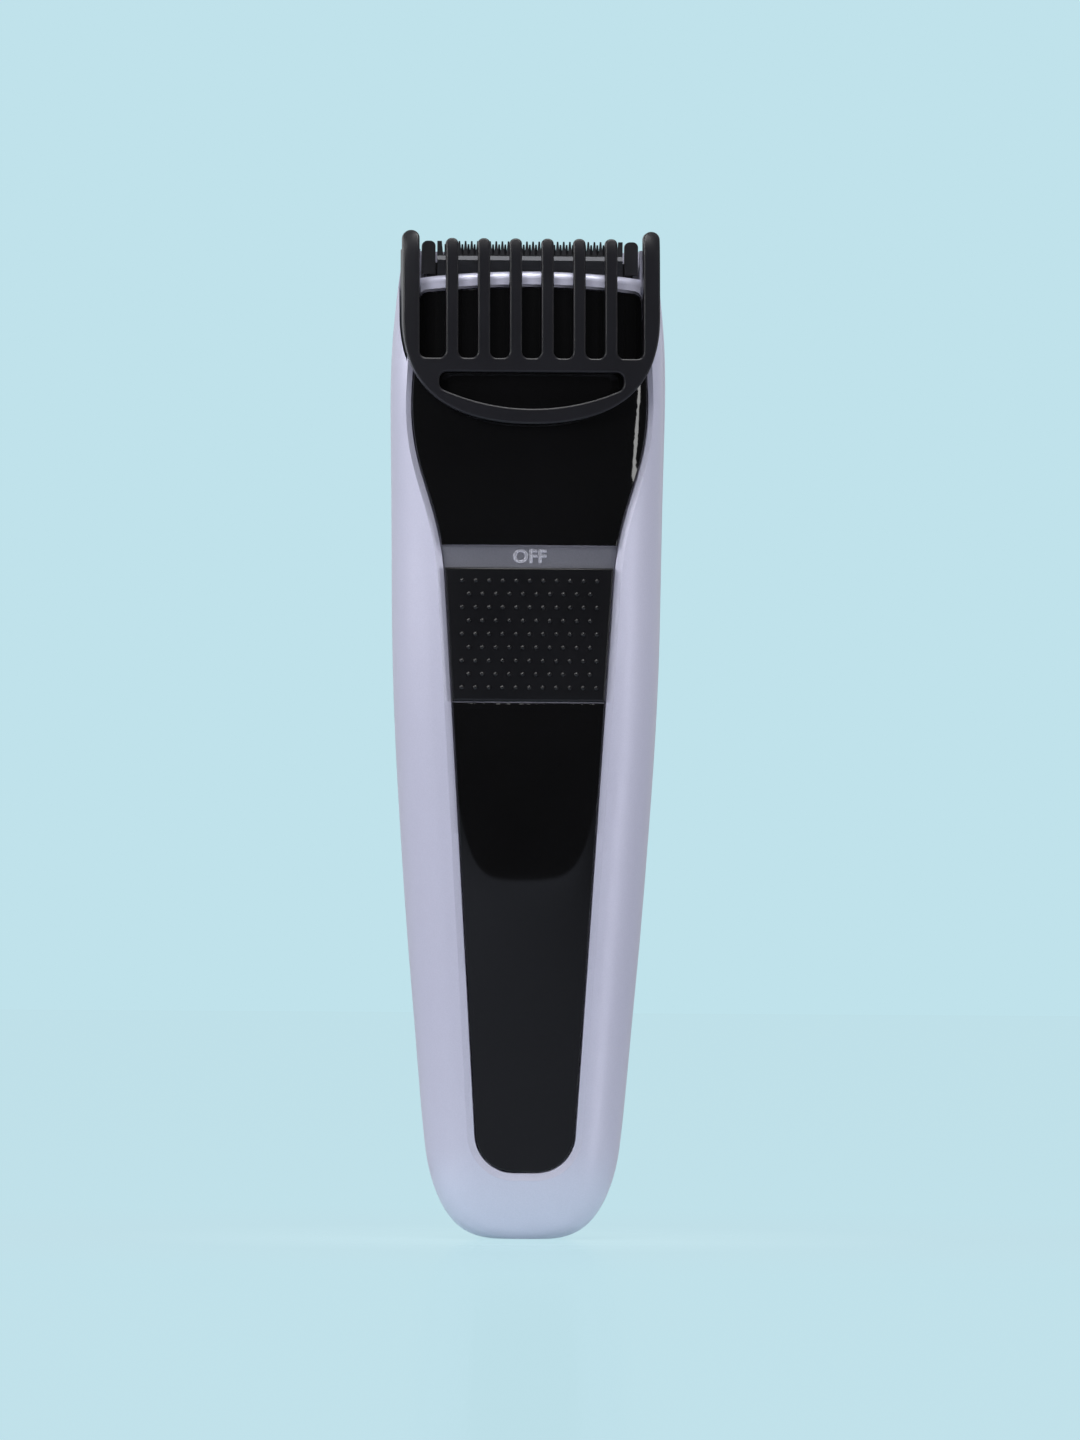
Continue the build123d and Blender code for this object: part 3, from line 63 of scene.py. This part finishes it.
def add(material, kind, settings, links):
    """Adds a node to a material or the world: settings go to the sockets or properties that they name, and
    links come in from outputs."""
    made = material.node_tree.nodes.new(kind)
    for name, value in settings.items():
        if isinstance(name, int) or name in made.inputs:
            made.inputs[name].default_value = value
        else:
            setattr(made, name, value)
    for name, source in links.items():
        material.node_tree.links.new(source, made.inputs[name])
    return made


def feed(material, links):
    """Links outputs into the material's shader, by socket name."""
    shader = material.node_tree.nodes["Principled BSDF"]
    for name, source in links.items():
        material.node_tree.links.new(source, shader.inputs[name])


def dress(material, *names):
    """Gives CAD nodes a material in place of the plain one that they were packed with."""
    for name in names:
        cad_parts[name].material_slots[0].material = material


def silver_paint(name, colour, shade, metallic, rough):
    """Metal flake in a satin clear coat: a grainy colour, a faint orange peel and a soft broad highlight."""
    paint = finish(name, {"Metallic": metallic, "Roughness": rough})
    place = add(paint, "ShaderNodeTexCoord", {}, {}).outputs["Object"]
    flake = add(paint, "ShaderNodeTexNoise", {"Scale": 1 / FLAKE, "Detail": 1.0}, {"Vector": place})
    peel = add(paint, "ShaderNodeTexNoise", {"Scale": 1 / ORANGE_PEEL, "Detail": 2.0}, {"Vector": place})
    tint = add(
        paint, "ShaderNodeMix",
        {"data_type": "RGBA", 6: linear(shade), 7: linear(colour)}, {"Factor": flake.outputs["Fac"]},
    )
    bump = add(
        paint, "ShaderNodeBump",
        {"Strength": PEEL_STRENGTH, "Distance": PEEL_DEPTH}, {"Height": peel.outputs["Fac"]},
    )
    feed(paint, {"Base Color": tint.outputs[2], "Normal": bump.outputs["Normal"]})
    return paint


casing_paint = silver_paint(
    "satin silver paint on ABS", PAINT_SILVER, PAINT_SHADE, metallic=0.35, rough=0.4,
)
dress(casing_paint, "front_shell", "rear_shell")

# Casing, blade, board and motor screws with the yoke's rivets: small steel fasteners, cold headed and
# zinc plated, which leaves them bright with a faint mottled grain.
ZINC_BRIGHT = "b9bab8"
ZINC_DULL = "8f918f"
ZINC_GRAIN = 0.4 * MM
METAL_RELIEF = 0.01 * MM
METAL_STRENGTH = 0.2
METAL_SHEEN = 0.08  # how far the roughness goes either way
EVEN = (1.0, 1.0, 1.0)


def metal(name, bright, dull, grain, stretch, rough):
    """Bare metal whose colour and roughness vary over a grain, drawn out along the axes by stretch."""
    made = finish(name, {"Metallic": 1.0})
    place = add(made, "ShaderNodeTexCoord", {}, {}).outputs["Object"]
    drawn = add(made, "ShaderNodeMapping", {"Scale": stretch}, {"Vector": place})
    noise = add(made, "ShaderNodeTexNoise", {"Scale": 1 / grain, "Detail": 3.0}, {"Vector": drawn.outputs[0]})
    tint = add(
        made, "ShaderNodeMix",
        {"data_type": "RGBA", 6: linear(dull), 7: linear(bright)}, {"Factor": noise.outputs["Fac"]},
    )
    sheen = add(
        made, "ShaderNodeMapRange",
        {"To Min": rough - METAL_SHEEN, "To Max": rough + METAL_SHEEN}, {"Value": noise.outputs["Fac"]},
    )
    bump = add(
        made, "ShaderNodeBump",
        {"Strength": METAL_STRENGTH, "Distance": METAL_RELIEF}, {"Height": noise.outputs["Fac"]},
    )
    feed(made, {
        "Base Color": tint.outputs[2], "Roughness": sheen.outputs[0], "Normal": bump.outputs["Normal"],
    })
    return made


zinc = metal("zinc plated steel", ZINC_BRIGHT, ZINC_DULL, grain=ZINC_GRAIN, stretch=EVEN, rough=0.3)
dress(zinc, "casing_screws", "blade_screws", "board_screws", "motor_screws", "yoke_rivets")

# Foot bezel and blade holder: black glass filled nylon, moulded with a fine spark eroded grain that
# makes them dull. The bezel is trapped between the shells, the holder drops in from above.
NYLON_BLACK = "17171a"
NYLON_LIGHT = "1f1f22"
ERODED_GRAIN = 0.18 * MM
GRAIN_STRENGTH = 0.5
COLOUR_DRIFT = 0.02  # the colour drifts over fifty grains
PLASTIC_SHEEN = 0.15  # how far the roughness goes either way, as a share of it


def moulded(name, colour, lighter, grain, depth, rough, ior=1.5):
    """Moulded plastic: the tool's fine grain as bump and roughness, and a slight drift of the colour."""
    made = finish(name, {"IOR": ior})
    place = add(made, "ShaderNodeTexCoord", {}, {}).outputs["Object"]
    fine = add(made, "ShaderNodeTexNoise", {"Scale": 1 / grain, "Detail": 2.0}, {"Vector": place})
    broad = add(made, "ShaderNodeTexNoise", {"Scale": COLOUR_DRIFT / grain, "Detail": 2.0}, {"Vector": place})
    tint = add(
        made, "ShaderNodeMix",
        {"data_type": "RGBA", 6: linear(colour), 7: linear(lighter)}, {"Factor": broad.outputs["Fac"]},
    )
    sheen = add(
        made, "ShaderNodeMapRange",
        {"To Min": rough * (1 - PLASTIC_SHEEN), "To Max": rough * (1 + PLASTIC_SHEEN)},
        {"Value": fine.outputs["Fac"]},
    )
    bump = add(
        made, "ShaderNodeBump",
        {"Strength": GRAIN_STRENGTH, "Distance": depth}, {"Height": fine.outputs["Fac"]},
    )
    feed(made, {
        "Base Color": tint.outputs[2], "Roughness": sheen.outputs[0], "Normal": bump.outputs["Normal"],
    })
    return made


black_nylon = moulded(
    "black glass filled nylon", NYLON_BLACK, NYLON_LIGHT, grain=ERODED_GRAIN, depth=0.02 * MM, rough=0.5,
)
dress(black_nylon, "foot_bezel", "blade_holder")

# Charging socket and battery tabs: a folded, nickel plated shell that is soldered to the charge board, and
# thin nickel strip that is spot welded to the cell. Both have a warm, slightly milky shine.
NICKEL_BRIGHT = "cfcac0"
NICKEL_DULL = "b1aca2"
nickel = metal("nickel plate", NICKEL_BRIGHT, NICKEL_DULL, grain=0.6 * MM, stretch=EVEN, rough=0.24)
dress(nickel, "charging_socket", "battery_tabs")

# Circuit boards: glass epoxy under a green solder mask, glossy, with the weave showing faintly. The chips,
# the switch knob and the socket's tongue are dull black resin; the slide switch has a tin plate cover.
MASK_GREEN = "0d5a35"
MASK_DARK = "0a4529"
WEAVE = 0.6 * MM
RESIN_BLACK = "161617"
RESIN_LIGHT = "202022"
mask = moulded("green solder mask", MASK_GREEN, MASK_DARK, grain=WEAVE, depth=0.004 * MM, rough=0.25)
resin = moulded("black resin", RESIN_BLACK, RESIN_LIGHT, grain=0.15 * MM, depth=0.01 * MM, rough=0.55)
tinplate = metal("tin plate", "c4c4c2", "a4a4a3", grain=0.8 * MM, stretch=(1.0, 1.0, 0.15), rough=0.32)
dress(mask, "main_board", "charge_board")
dress(resin, "board_chips", "slide_switch_knob", "socket_tongue")
dress(tinplate, "slide_switch")

# Cell: one rechargeable penlight cell that lies in the rear shell's ribs, in a shrunk green sleeve without
# print. The film is smooth and shines softly along the cell.
SLEEVE_GREEN = "1f6b3f"
SLEEVE_DARK = "185733"
sleeve = moulded("shrunk sleeve", SLEEVE_GREEN, SLEEVE_DARK, grain=1.2 * MM, depth=0.02 * MM, rough=0.3)
dress(sleeve, "battery_cell")

# Leads: stranded wire in soft PVC, red for positive and black for negative, soldered at both ends. The
# drawn skin is even, with a dull shine.
red_pvc = moulded("red PVC", "8f1414", "a01c1a", grain=0.3 * MM, depth=0.01 * MM, rough=0.42)
black_pvc = moulded("black PVC", "121213", "1b1b1d", grain=0.3 * MM, depth=0.01 * MM, rough=0.42)
for feed_name in ("battery", "motor", "charge"):
    dress(red_pvc, feed_name + "_lead_red")
    dress(black_pvc, feed_name + "_lead_black")

# Motor and drive: plated steel can with a grey nylon cap, ferrite magnets, stacked steel armature, copper
# commutator, bronze bushes, brass tags, bright shaft and spring, and an eccentric and yoke of natural nylon.
# The can shows lines along its draw and the armature the edges of its sheets; nylon and ferrite are dull.
drawn_steel = metal(
    "drawn plated steel", "bdbcb8", "9c9b97", grain=0.5 * MM, stretch=(1.0, 1.0, 0.1), rough=0.34,
)
stacked_steel = metal(
    "stacked steel sheet", "7f7f7d", "5c5c5b", grain=0.5 * MM, stretch=(0.05, 0.05, 1.0), rough=0.45,
)
bright_steel = metal("bright drawn wire", "a9a9a7", "8d8d8b", grain=0.3 * MM, stretch=EVEN, rough=0.26)
copper = metal("turned copper", "c8774d", "a65f3c", grain=0.3 * MM, stretch=(0.1, 0.1, 1.0), rough=0.3)
brass = metal("stamped brass", "c9a455", "a98742", grain=0.5 * MM, stretch=EVEN, rough=0.32)
bronze = metal("sintered bronze", "9a7746", "7c5f38", grain=0.12 * MM, stretch=EVEN, rough=0.5)
ferrite = moulded("ferrite", "26262a", "313135", grain=0.2 * MM, depth=0.02 * MM, rough=0.7)
grey_nylon = moulded("grey nylon", "3c3c40", "45454a", grain=0.2 * MM, depth=0.02 * MM, rough=0.5)
white_nylon = moulded("natural nylon", "dcd8cb", "e6e3d8", grain=0.2 * MM, depth=0.015 * MM, rough=0.45)
dress(drawn_steel, "motor_can")
dress(stacked_steel, "armature")
dress(bright_steel, "motor_shaft", "blade_spring")
dress(copper, "commutator")
dress(brass, "motor_terminals")
dress(bronze, "motor_bushes")
dress(ferrite, "motor_magnets")
dress(grey_nylon, "motor_end_cap", "drive_plate", "switch_clip")
dress(white_nylon, "eccentric", "cutter_yoke")

# Felt ring: pressed wool, punched out and laid on the drive plate round the motor's nose to keep hair out.
# It is fuzzy and has no shine.
felt = moulded("pressed wool felt", "8d887a", "a29c8c", grain=0.25 * MM, depth=0.12 * MM, rough=0.92)
dress(felt, "shaft_felt")

# Blades: hardened steel, stamped with fine teeth and ground flat across, so that fine lines run along them
# and blur what they mirror. The fixed one is screwed to the holder, the other slides on it.
GRIND = 0.12 * MM
ground_steel = metal(
    "ground blade steel", "5a5b5e", "424347", grain=GRIND, stretch=(0.04, 1.0, 1.0), rough=0.52,
)
dress(ground_steel, "fixed_blade", "moving_blade")

# Upper panel: gloss black ABS, moulded in a polished tool and glued into the channel. It is as good as a
# mirror, with a little dust and only the faintest waviness.
GLOSS_BLACK = "060606"
GLOSS_DUST = "0d0d0e"
DUST = 0.5 * MM
gloss = moulded("polished black ABS", GLOSS_BLACK, GLOSS_DUST, grain=DUST, depth=0.0004 * MM, rough=0.05)
dress(gloss, "upper_panel")

# Lower panel: the same black ABS, glued in below the switch. What it mirrors has a clean edge, so its front
# is shaded by the tool's own smooth curve and not by the facets of the mesh: across, it leans by x, by x
# cubed and by x times z; along, by a square of z, and by the sixth power of x towards its sides.
LEAN_ACROSS = 29.5
LEAN_CUBED = 1.446e5
LEAN_TAPER = -196.0
LEAN_ALONG = -0.052
LEAN_ALONG_SQUARED = 5.3
LEAN_EDGE = -6.4e9
EDGE_POWER = 3.0  # of the square of x
FRONT_FACING = -0.8
gloss_true = moulded(
    "polished black ABS, true to its tool", GLOSS_BLACK, GLOSS_DUST,
    grain=DUST, depth=0.0001 * MM, rough=0.02,
)
place = add(gloss_true, "ShaderNodeTexCoord", {}, {}).outputs["Object"]
at = add(gloss_true, "ShaderNodeSeparateXYZ", {}, {0: place}).outputs
square = add(gloss_true, "ShaderNodeMath", {"operation": "MULTIPLY"}, {0: at["X"], 1: at["X"]})
curve = add(
    gloss_true, "ShaderNodeMath",
    {"operation": "MULTIPLY_ADD", 1: LEAN_CUBED, 2: LEAN_ACROSS}, {0: square.outputs[0]},
)
taper = add(
    gloss_true, "ShaderNodeMath",
    {"operation": "MULTIPLY_ADD", 1: LEAN_TAPER}, {0: at["Z"], 2: curve.outputs[0]},
)
across = add(gloss_true, "ShaderNodeMath", {"operation": "MULTIPLY"}, {0: at["X"], 1: taper.outputs[0]})
height = add(gloss_true, "ShaderNodeMath", {"operation": "MULTIPLY"}, {0: at["Z"], 1: at["Z"]})
along = add(
    gloss_true, "ShaderNodeMath",
    {"operation": "MULTIPLY_ADD", 1: LEAN_ALONG_SQUARED, 2: LEAN_ALONG}, {0: height.outputs[0]},
)
sixth = add(gloss_true, "ShaderNodeMath", {"operation": "POWER", 1: EDGE_POWER}, {0: square.outputs[0]})
along = add(
    gloss_true, "ShaderNodeMath",
    {"operation": "MULTIPLY_ADD", 1: LEAN_EDGE}, {0: sixth.outputs[0], 2: along.outputs[0]},
)
lean = add(
    gloss_true, "ShaderNodeCombineXYZ", {"Y": -1.0}, {"X": across.outputs[0], "Z": along.outputs[0]},
)
true_way = add(gloss_true, "ShaderNodeVectorMath", {"operation": "NORMALIZE"}, {0: lean.outputs[0]})
facet = add(gloss_true, "ShaderNodeNewGeometry", {}, {}).outputs
facing = add(gloss_true, "ShaderNodeSeparateXYZ", {}, {0: facet["True Normal"]})
is_front = add(
    gloss_true, "ShaderNodeMath", {"operation": "LESS_THAN", 1: FRONT_FACING}, {0: facing.outputs["Y"]},
)
clean = add(
    gloss_true, "ShaderNodeMix", {"data_type": "VECTOR"},
    {"Factor": is_front.outputs[0], 4: facet["Normal"], 5: true_way.outputs[0]},
)
gloss_true.node_tree.links.new(clean.outputs[1], gloss_true.node_tree.nodes["Bump"].inputs["Normal"])
dress(gloss_true, "lower_panel")

# Switch bed: a silver painted strip glued to the channel's floor; its paint is darker than the casing's, and
# this darkness is painted shade for its place deep in the channel. The words that tell the two ends of the
# switch apart stand a little proud of it; the thumb has rubbed them smoother, and they are painted paler than
# the strip, a painted highlight for the glint on their relief.
STRIP_SILVER = "8d8e98"
STRIP_SHADE = "80818b"
WORD_SILVER = "c6c7d2"
WORD_SHADE = "b6b7c2"
WORD_HEIGHT = 2.1 * MM
WORD_RAISE = 0.03 * MM
WORD_BEVEL = 0.14 * MM
WORD_BEVEL_STEPS = 3
CAPITAL_SHARE = 0.7  # height of a capital as a share of the font's size
LETTER_SPACE = 1.05
PROBE_Y = -0.1  # well in front of the clipper
OFF_Z = 110.95 * MM
ON_Z = 89.2 * MM
# The strip's darker silver is painted shade for the deep channel.
strip_paint = silver_paint("silver paint darkened as painted shade", STRIP_SILVER, STRIP_SHADE, metallic=0.6, rough=0.32)
# The words' paler silver is a painted highlight standing in for the glint on their relief.
word_paint = silver_paint("silver paint paled as painted highlight", WORD_SILVER, WORD_SHADE, metallic=0.5, rough=0.26)
dress(strip_paint, "switch_bed")


def front_of(node, x, z):
    """The point of a CAD node's front that lies at x and z, and the surface's normal there."""
    start = Vector((x, PROBE_Y, z))
    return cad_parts[node].ray_cast(start, Vector((0, 1, 0)))[1:3]


def raised_word(name, text, z):
    """A word in plain letters with rounded strokes, as an upright mesh laid on the strip: each point moves
    back by the strip's own curve, a square of x plus a slope along z through three points of its front.
    It is low enough for the switch to pass over it."""
    curve = bpy.data.curves.new(name, "FONT")
    curve.body = text
    curve.align_x = "CENTER"
    curve.align_y = "CENTER"
    curve.size = WORD_HEIGHT / CAPITAL_SHARE
    curve.space_character = LETTER_SPACE
    curve.extrude = WORD_RAISE
    curve.bevel_depth = WORD_BEVEL
    curve.bevel_resolution = WORD_BEVEL_STEPS
    made = bpy.data.objects.new(name + "_curve", curve)
    bpy.context.scene.collection.objects.link(made)
    bpy.context.view_layer.update()
    mesh = bpy.data.meshes.new_from_object(made.evaluated_get(bpy.context.evaluated_depsgraph_get()))
    bpy.data.objects.remove(made)
    mesh.transform(Matrix.Translation((0, 0, z)) @ Matrix.Rotation(math.radians(90), 4, "X"))
    reach = WORD_HEIGHT / 2
    middle = front_of("switch_bed", 0, z)[0].y
    aside = front_of("switch_bed", WORD_HEIGHT, z)[0].y - middle
    above = front_of("switch_bed", 0, z + reach)[0].y - middle
    points = np.empty(len(mesh.vertices) * 3)
    mesh.vertices.foreach_get("co", points)
    points = points.reshape(-1, 3)
    points[:, 1] += middle + aside * (points[:, 0] / WORD_HEIGHT) ** 2 + above * (points[:, 2] - z) / reach
    mesh.vertices.foreach_set("co", points.ravel())
    word = bpy.data.objects.new(name, mesh)
    bpy.context.scene.collection.objects.link(word)
    mesh.materials.clear()
    mesh.materials.append(word_paint)
    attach(word, "casing")


raised_word("off_word", "OFF", OFF_Z)
raised_word("on_word", "ON", ON_Z)

# Power switch: a thumb pad of matte black ABS with a stem through the strip, held by a plate pushed on to
# the stem from inside. Nine rows of small domes, eleven and ten in turn, are moulded on the pad so that the
# thumb holds; they are rubbed smooth, and each shows a small light.
PAD_BLACK = "0a0a0c"
PAD_LIGHT = "0f0f11"
DOT_ROWS = 9
DOT_COUNT = 11
DOT_PITCH_X = 2.19 * MM
DOT_PITCH_Z = 2.17 * MM
DOT_TOP_Z = 107.1 * MM
DOT_RADIUS = 0.42 * MM
DOT_HEIGHT = 0.36 * MM
DOT_RINGS = 4
DOT_SIDES = 12
DOT_SKIRT = 1.15  # the last ring, as a share of the way from the middle to the rim
pad_plastic = moulded(
    "matte black ABS", PAD_BLACK, PAD_LIGHT, grain=0.16 * MM, depth=0.006 * MM, rough=0.3, ior=1.4,
)
worn_plastic = moulded(
    "black ABS rubbed by the thumb", PAD_BLACK, PAD_LIGHT, grain=0.16 * MM, depth=0.002 * MM, rough=0.3,
)
dress(pad_plastic, "power_switch")


def mesh_piece(name, points, faces, material, body):
    """A piece from whole arrays of points and faces, smooth, that rides on a body and takes its material."""
    mesh = bpy.data.meshes.new(name)
    mesh.from_pydata(points.reshape(-1, 3), [], faces)
    mesh.polygons.foreach_set("use_smooth", np.ones(len(mesh.polygons), bool))
    mesh.materials.append(material)
    piece = bpy.data.objects.new(name, mesh)
    bpy.context.scene.collection.objects.link(piece)
    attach(piece, body)


def domes(places, normals):
    """Low domes on given places: the height falls off as the cosine of the way out from the middle, from a
    pole to a skirt that is sunk a little into the pad, turned to stand along each place's normal."""
    way = np.linspace(0, DOT_SKIRT, DOT_RINGS + 1)[1:]
    turn = np.linspace(0, 2 * np.pi, DOT_SIDES, endpoint=False)
    across = DOT_RADIUS * np.outer(np.minimum(way, 1), np.cos(turn)).ravel()
    along = DOT_RADIUS * np.outer(np.minimum(way, 1), np.sin(turn)).ravel()
    rise = DOT_HEIGHT * np.repeat(np.cos(way * np.pi / 2), DOT_SIDES)
    dome = np.column_stack([np.append(0, across), np.append(0, along), np.append(DOT_HEIGHT, rise)])
    right = np.cross(normals, (0, 0, 1))
    right /= -np.linalg.norm(right, axis=1, keepdims=True)
    up = np.cross(normals, right)
    axes = np.stack([right, up, normals], axis=1)
    points = places[:, None, :] + np.einsum("vk,nkc->nvc", dome, axes)
    side = np.arange(DOT_SIDES)
    beside = (side + 1) % DOT_SIDES
    cap = np.column_stack([np.zeros_like(side), 1 + side, 1 + beside])
    inner = 1 + DOT_SIDES * np.arange(DOT_RINGS - 1)[:, None]
    outer = inner + DOT_SIDES
    walls = np.stack([inner + side, outer + side, outer + beside, inner + beside], axis=-1)
    first = len(dome) * np.arange(len(places))[:, None, None]
    caps = (first + cap).reshape(-1, 3)
    skirts = (first + walls.reshape(-1, 4)).reshape(-1, 4)
    return points, caps.tolist() + skirts.tolist()


dot_places = [
    ((k - (DOT_COUNT - row % 2 - 1) / 2) * DOT_PITCH_X, DOT_TOP_Z - row * DOT_PITCH_Z)
    for row in range(DOT_ROWS)
    for k in range(DOT_COUNT - row % 2)
]
dot_hits = [front_of("power_switch", x, z) for x, z in dot_places]
dot_middles, dot_normals = (np.array(found) for found in zip(*dot_hits))
dot_points, dot_faces = domes(dot_middles, dot_normals)
mesh_piece("switch_dots", dot_points, dot_faces, worn_plastic, "switch")

# Guide comb: one moulding of black ABS with a fine satin grain; it clips over the head and slides on two
# legs. Its edges are rounded, and they catch the light as thin grey lines.
COMB_BLACK = "111114"
COMB_LIGHT = "17171b"
comb_plastic = moulded(
    "satin black ABS", COMB_BLACK, COMB_LIGHT, grain=0.2 * MM, depth=0.004 * MM, rough=0.36, ior=1.42,
)
dress(comb_plastic, "guide_comb")

# Stage: a pale blue table with a slight gloss that darkens at its front edge, and a backdrop of one colour.
# To the eye the table is as even as the backdrop, but near the foot it keeps some of its own light, for the
# shadow and a faint mirror image. Near the foot the table is also painted paler, a painted pool of light that
# throws more light up on the foot. In what the clipper mirrors, it glows there with the backdrop's colour, a
# painted reflection that brightens the foot. Behind the camera it is dark, so the panels stay black.
BACKGROUND_BLUE = "c0e2eb"
TABLE_TOP = "9ca1b0"
TABLE_FOOT = "e4f4f8"
STUDIO_DARK = "26272a"
STUDIO_PALE = "ced2d5"
TABLE_HALF_WIDTH = 1.5
TABLE_FRONT = -0.77
TABLE_EDGE = 0.015
TABLE_BACK = 2.0
TABLE_Z = -0.05 * MM
TABLE_ROUGH = 0.12
MIRROR_REACH = 0.17
MIRROR_NEAR = 0.16
MIRROR_FAR = 0.05
FOOT_NEAR = 0.02
FOOT_FAR = 0.07
DARK_UNTIL = 0.1  # how far a direction points to the back: dark below the first, pale above the second
PALE_FROM = 0.6
table = finish("pale blue table", {"Roughness": TABLE_ROUGH})
place = add(table, "ShaderNodeTexCoord", {}, {}).outputs["Object"]
at = add(table, "ShaderNodeSeparateXYZ", {}, {0: place}).outputs
edge = add(
    table, "ShaderNodeMapRange",
    {"From Min": TABLE_FRONT, "From Max": TABLE_FRONT + TABLE_EDGE}, {"Value": at["Y"]},
)
top = add(
    table, "ShaderNodeMix",
    {"data_type": "RGBA", 6: linear(STUDIO_DARK), 7: linear(TABLE_TOP)}, {"Factor": edge.outputs[0]},
)
reach = add(table, "ShaderNodeVectorMath", {"operation": "LENGTH"}, {0: place}).outputs["Value"]
own_light = add(
    table, "ShaderNodeMapRange",
    {"From Max": MIRROR_REACH, "To Min": 1 - MIRROR_NEAR, "To Max": 1 - MIRROR_FAR}, {"Value": reach},
)
# Near the foot the table is painted paler: a painted pool of light that throws more light up on the foot.
near = add(
    table, "ShaderNodeMapRange",
    {"From Min": FOOT_NEAR, "From Max": FOOT_FAR, "To Min": 1.0, "To Max": 0.0}, {"Value": reach},
)
paler = add(
    table, "ShaderNodeMix",
    {"data_type": "RGBA", 7: linear(TABLE_FOOT)}, {"Factor": near.outputs[0], 6: top.outputs[2]},
)
feed(table, {"Base Color": paler.outputs[2]})
ray = add(table, "ShaderNodeLightPath", {}, {})
# Near the foot, glossy rays see the table glow with the backdrop's colour: a painted reflection that
# brightens the foot.
shown = add(
    table, "ShaderNodeMath",
    {"operation": "MULTIPLY"}, {0: near.outputs[0], 1: ray.outputs["Is Glossy Ray"]},
)
even = add(
    table, "ShaderNodeMix", {},
    {"Factor": ray.outputs["Is Camera Ray"], "A": shown.outputs[0], "B": own_light.outputs[0]},
)
glow = add(table, "ShaderNodeEmission", {"Color": linear(BACKGROUND_BLUE)}, {})
shader = table.node_tree.nodes["Principled BSDF"].outputs[0]
mixed = add(table, "ShaderNodeMixShader", {}, {0: even.outputs[0], 1: shader, 2: glow.outputs[0]})
table.node_tree.links.new(mixed.outputs[0], table.node_tree.nodes["Material Output"].inputs["Surface"])
floor_mesh = bpy.data.meshes.new("floor")
floor_mesh.from_pydata([
    (-TABLE_HALF_WIDTH, TABLE_FRONT, TABLE_Z), (TABLE_HALF_WIDTH, TABLE_FRONT, TABLE_Z),
    (TABLE_HALF_WIDTH, TABLE_BACK, TABLE_Z), (-TABLE_HALF_WIDTH, TABLE_BACK, TABLE_Z),
], [], [(0, 1, 2, 3)])
floor_mesh.materials.append(table)
floor = bpy.data.objects.new("floor", floor_mesh)
bpy.context.scene.collection.objects.link(floor)

world = bpy.data.worlds.new("studio")
bpy.context.scene.world = world
world.use_nodes = True
ray = add(world, "ShaderNodeLightPath", {}, {})
way = add(world, "ShaderNodeTexCoord", {}, {}).outputs["Generated"]
depth = add(world, "ShaderNodeSeparateXYZ", {}, {0: way})
behind = add(
    world, "ShaderNodeMapRange",
    {"From Min": DARK_UNTIL, "From Max": PALE_FROM}, {"Value": depth.outputs["Y"]},
)
room = add(
    world, "ShaderNodeMix",
    {"data_type": "RGBA", 6: linear(STUDIO_DARK), 7: linear(STUDIO_PALE)}, {"Factor": behind.outputs[0]},
)
seen = add(
    world, "ShaderNodeMix",
    {"data_type": "RGBA", 7: linear(BACKGROUND_BLUE)},
    {"Factor": ray.outputs["Is Camera Ray"], 6: room.outputs[2]},
)
world.node_tree.links.new(seen.outputs[2], world.node_tree.nodes["Background"].inputs["Color"])

# Lamps: a soft box at the left and one above, a slim tall one on each side just outside the panels' mirror
# angle, and three fills that give no reflection. Each is placed by its azimuth from the front, its
# elevation and its distance from the middle of the clipper; the last entry says if it shows in gloss.
LAMPS = [
    ("left_box", (-90, 28, 0.8), (0.45, 0.45), 3.6, True),
    ("key_box", (-62, 26, 0.9), (0.07, 0.5), 1.2, True),
    ("left_fill", (-26, 20, 0.9), (0.3, 0.3), 3.4, False),
    ("right_box", (66, 6, 0.7), (0.06, 0.55), 0.65, True),
    ("right_fill", (84, 6, 0.7), (0.4, 0.5), 1.9, False),
    ("top_box", (10, 76, 0.7), (0.45, 0.35), 4.4, True),
    ("front_fill", (10, 3, 1.0), (0.6, 0.12), 3.4, False),
]
MIDDLE = Vector((0, 0, 0.085))
for lamp_name, (azimuth, elevation, distance), lamp_size, lamp_power, mirrored in LAMPS:
    lamp = bpy.data.lights.new(lamp_name, "AREA")
    lamp.shape = "RECTANGLE"
    lamp.size, lamp.size_y = lamp_size
    lamp.energy = lamp_power
    holder = bpy.data.objects.new(lamp_name, lamp)
    bpy.context.scene.collection.objects.link(holder)
    holder.visible_glossy = mirrored
    around = Matrix.Rotation(math.radians(azimuth), 3, "Z")
    raised = Matrix.Rotation(math.radians(-elevation), 3, "X")
    away = around @ raised @ Vector((0, -distance, 0))
    holder.location = MIDDLE + away
    holder.rotation_euler = (-away).to_track_quat("-Z", "Y").to_euler()

# Camera: level with the middle of the clipper, a little to its left, far enough for a flat long lens view.
# One pixel of the photograph is one PIXEL at the casing's parting plane.
IMAGE_HEIGHT = 1440
PIXEL = 0.16318 * MM
SENSOR = 36.0
CAMERA_DISTANCE = 2.6
CAMERA_AZIMUTH = math.radians(-2.5)
CAMERA_ROLL = math.radians(0.4)
CENTRE_X = 2.4 * MM
CENTRE_Z = 84.5 * MM
camera = bpy.data.cameras.new("camera")
camera.sensor_width = SENSOR
camera.lens = SENSOR * CAMERA_DISTANCE / (IMAGE_HEIGHT * PIXEL)
viewer = bpy.data.objects.new("camera", camera)
bpy.context.scene.collection.objects.link(viewer)
turned = Matrix.Rotation(CAMERA_AZIMUTH, 4, "Z")
viewer.matrix_world = (
    Matrix.Translation((0, 0, CENTRE_Z)) @ turned @ Matrix.Translation((CENTRE_X, -CAMERA_DISTANCE, 0))
    @ Matrix.Rotation(math.radians(90), 4, "X") @ Matrix.Rotation(CAMERA_ROLL, 4, "Z")
)
bpy.context.scene.camera = viewer
bpy.context.scene.view_settings.view_transform = "Standard"
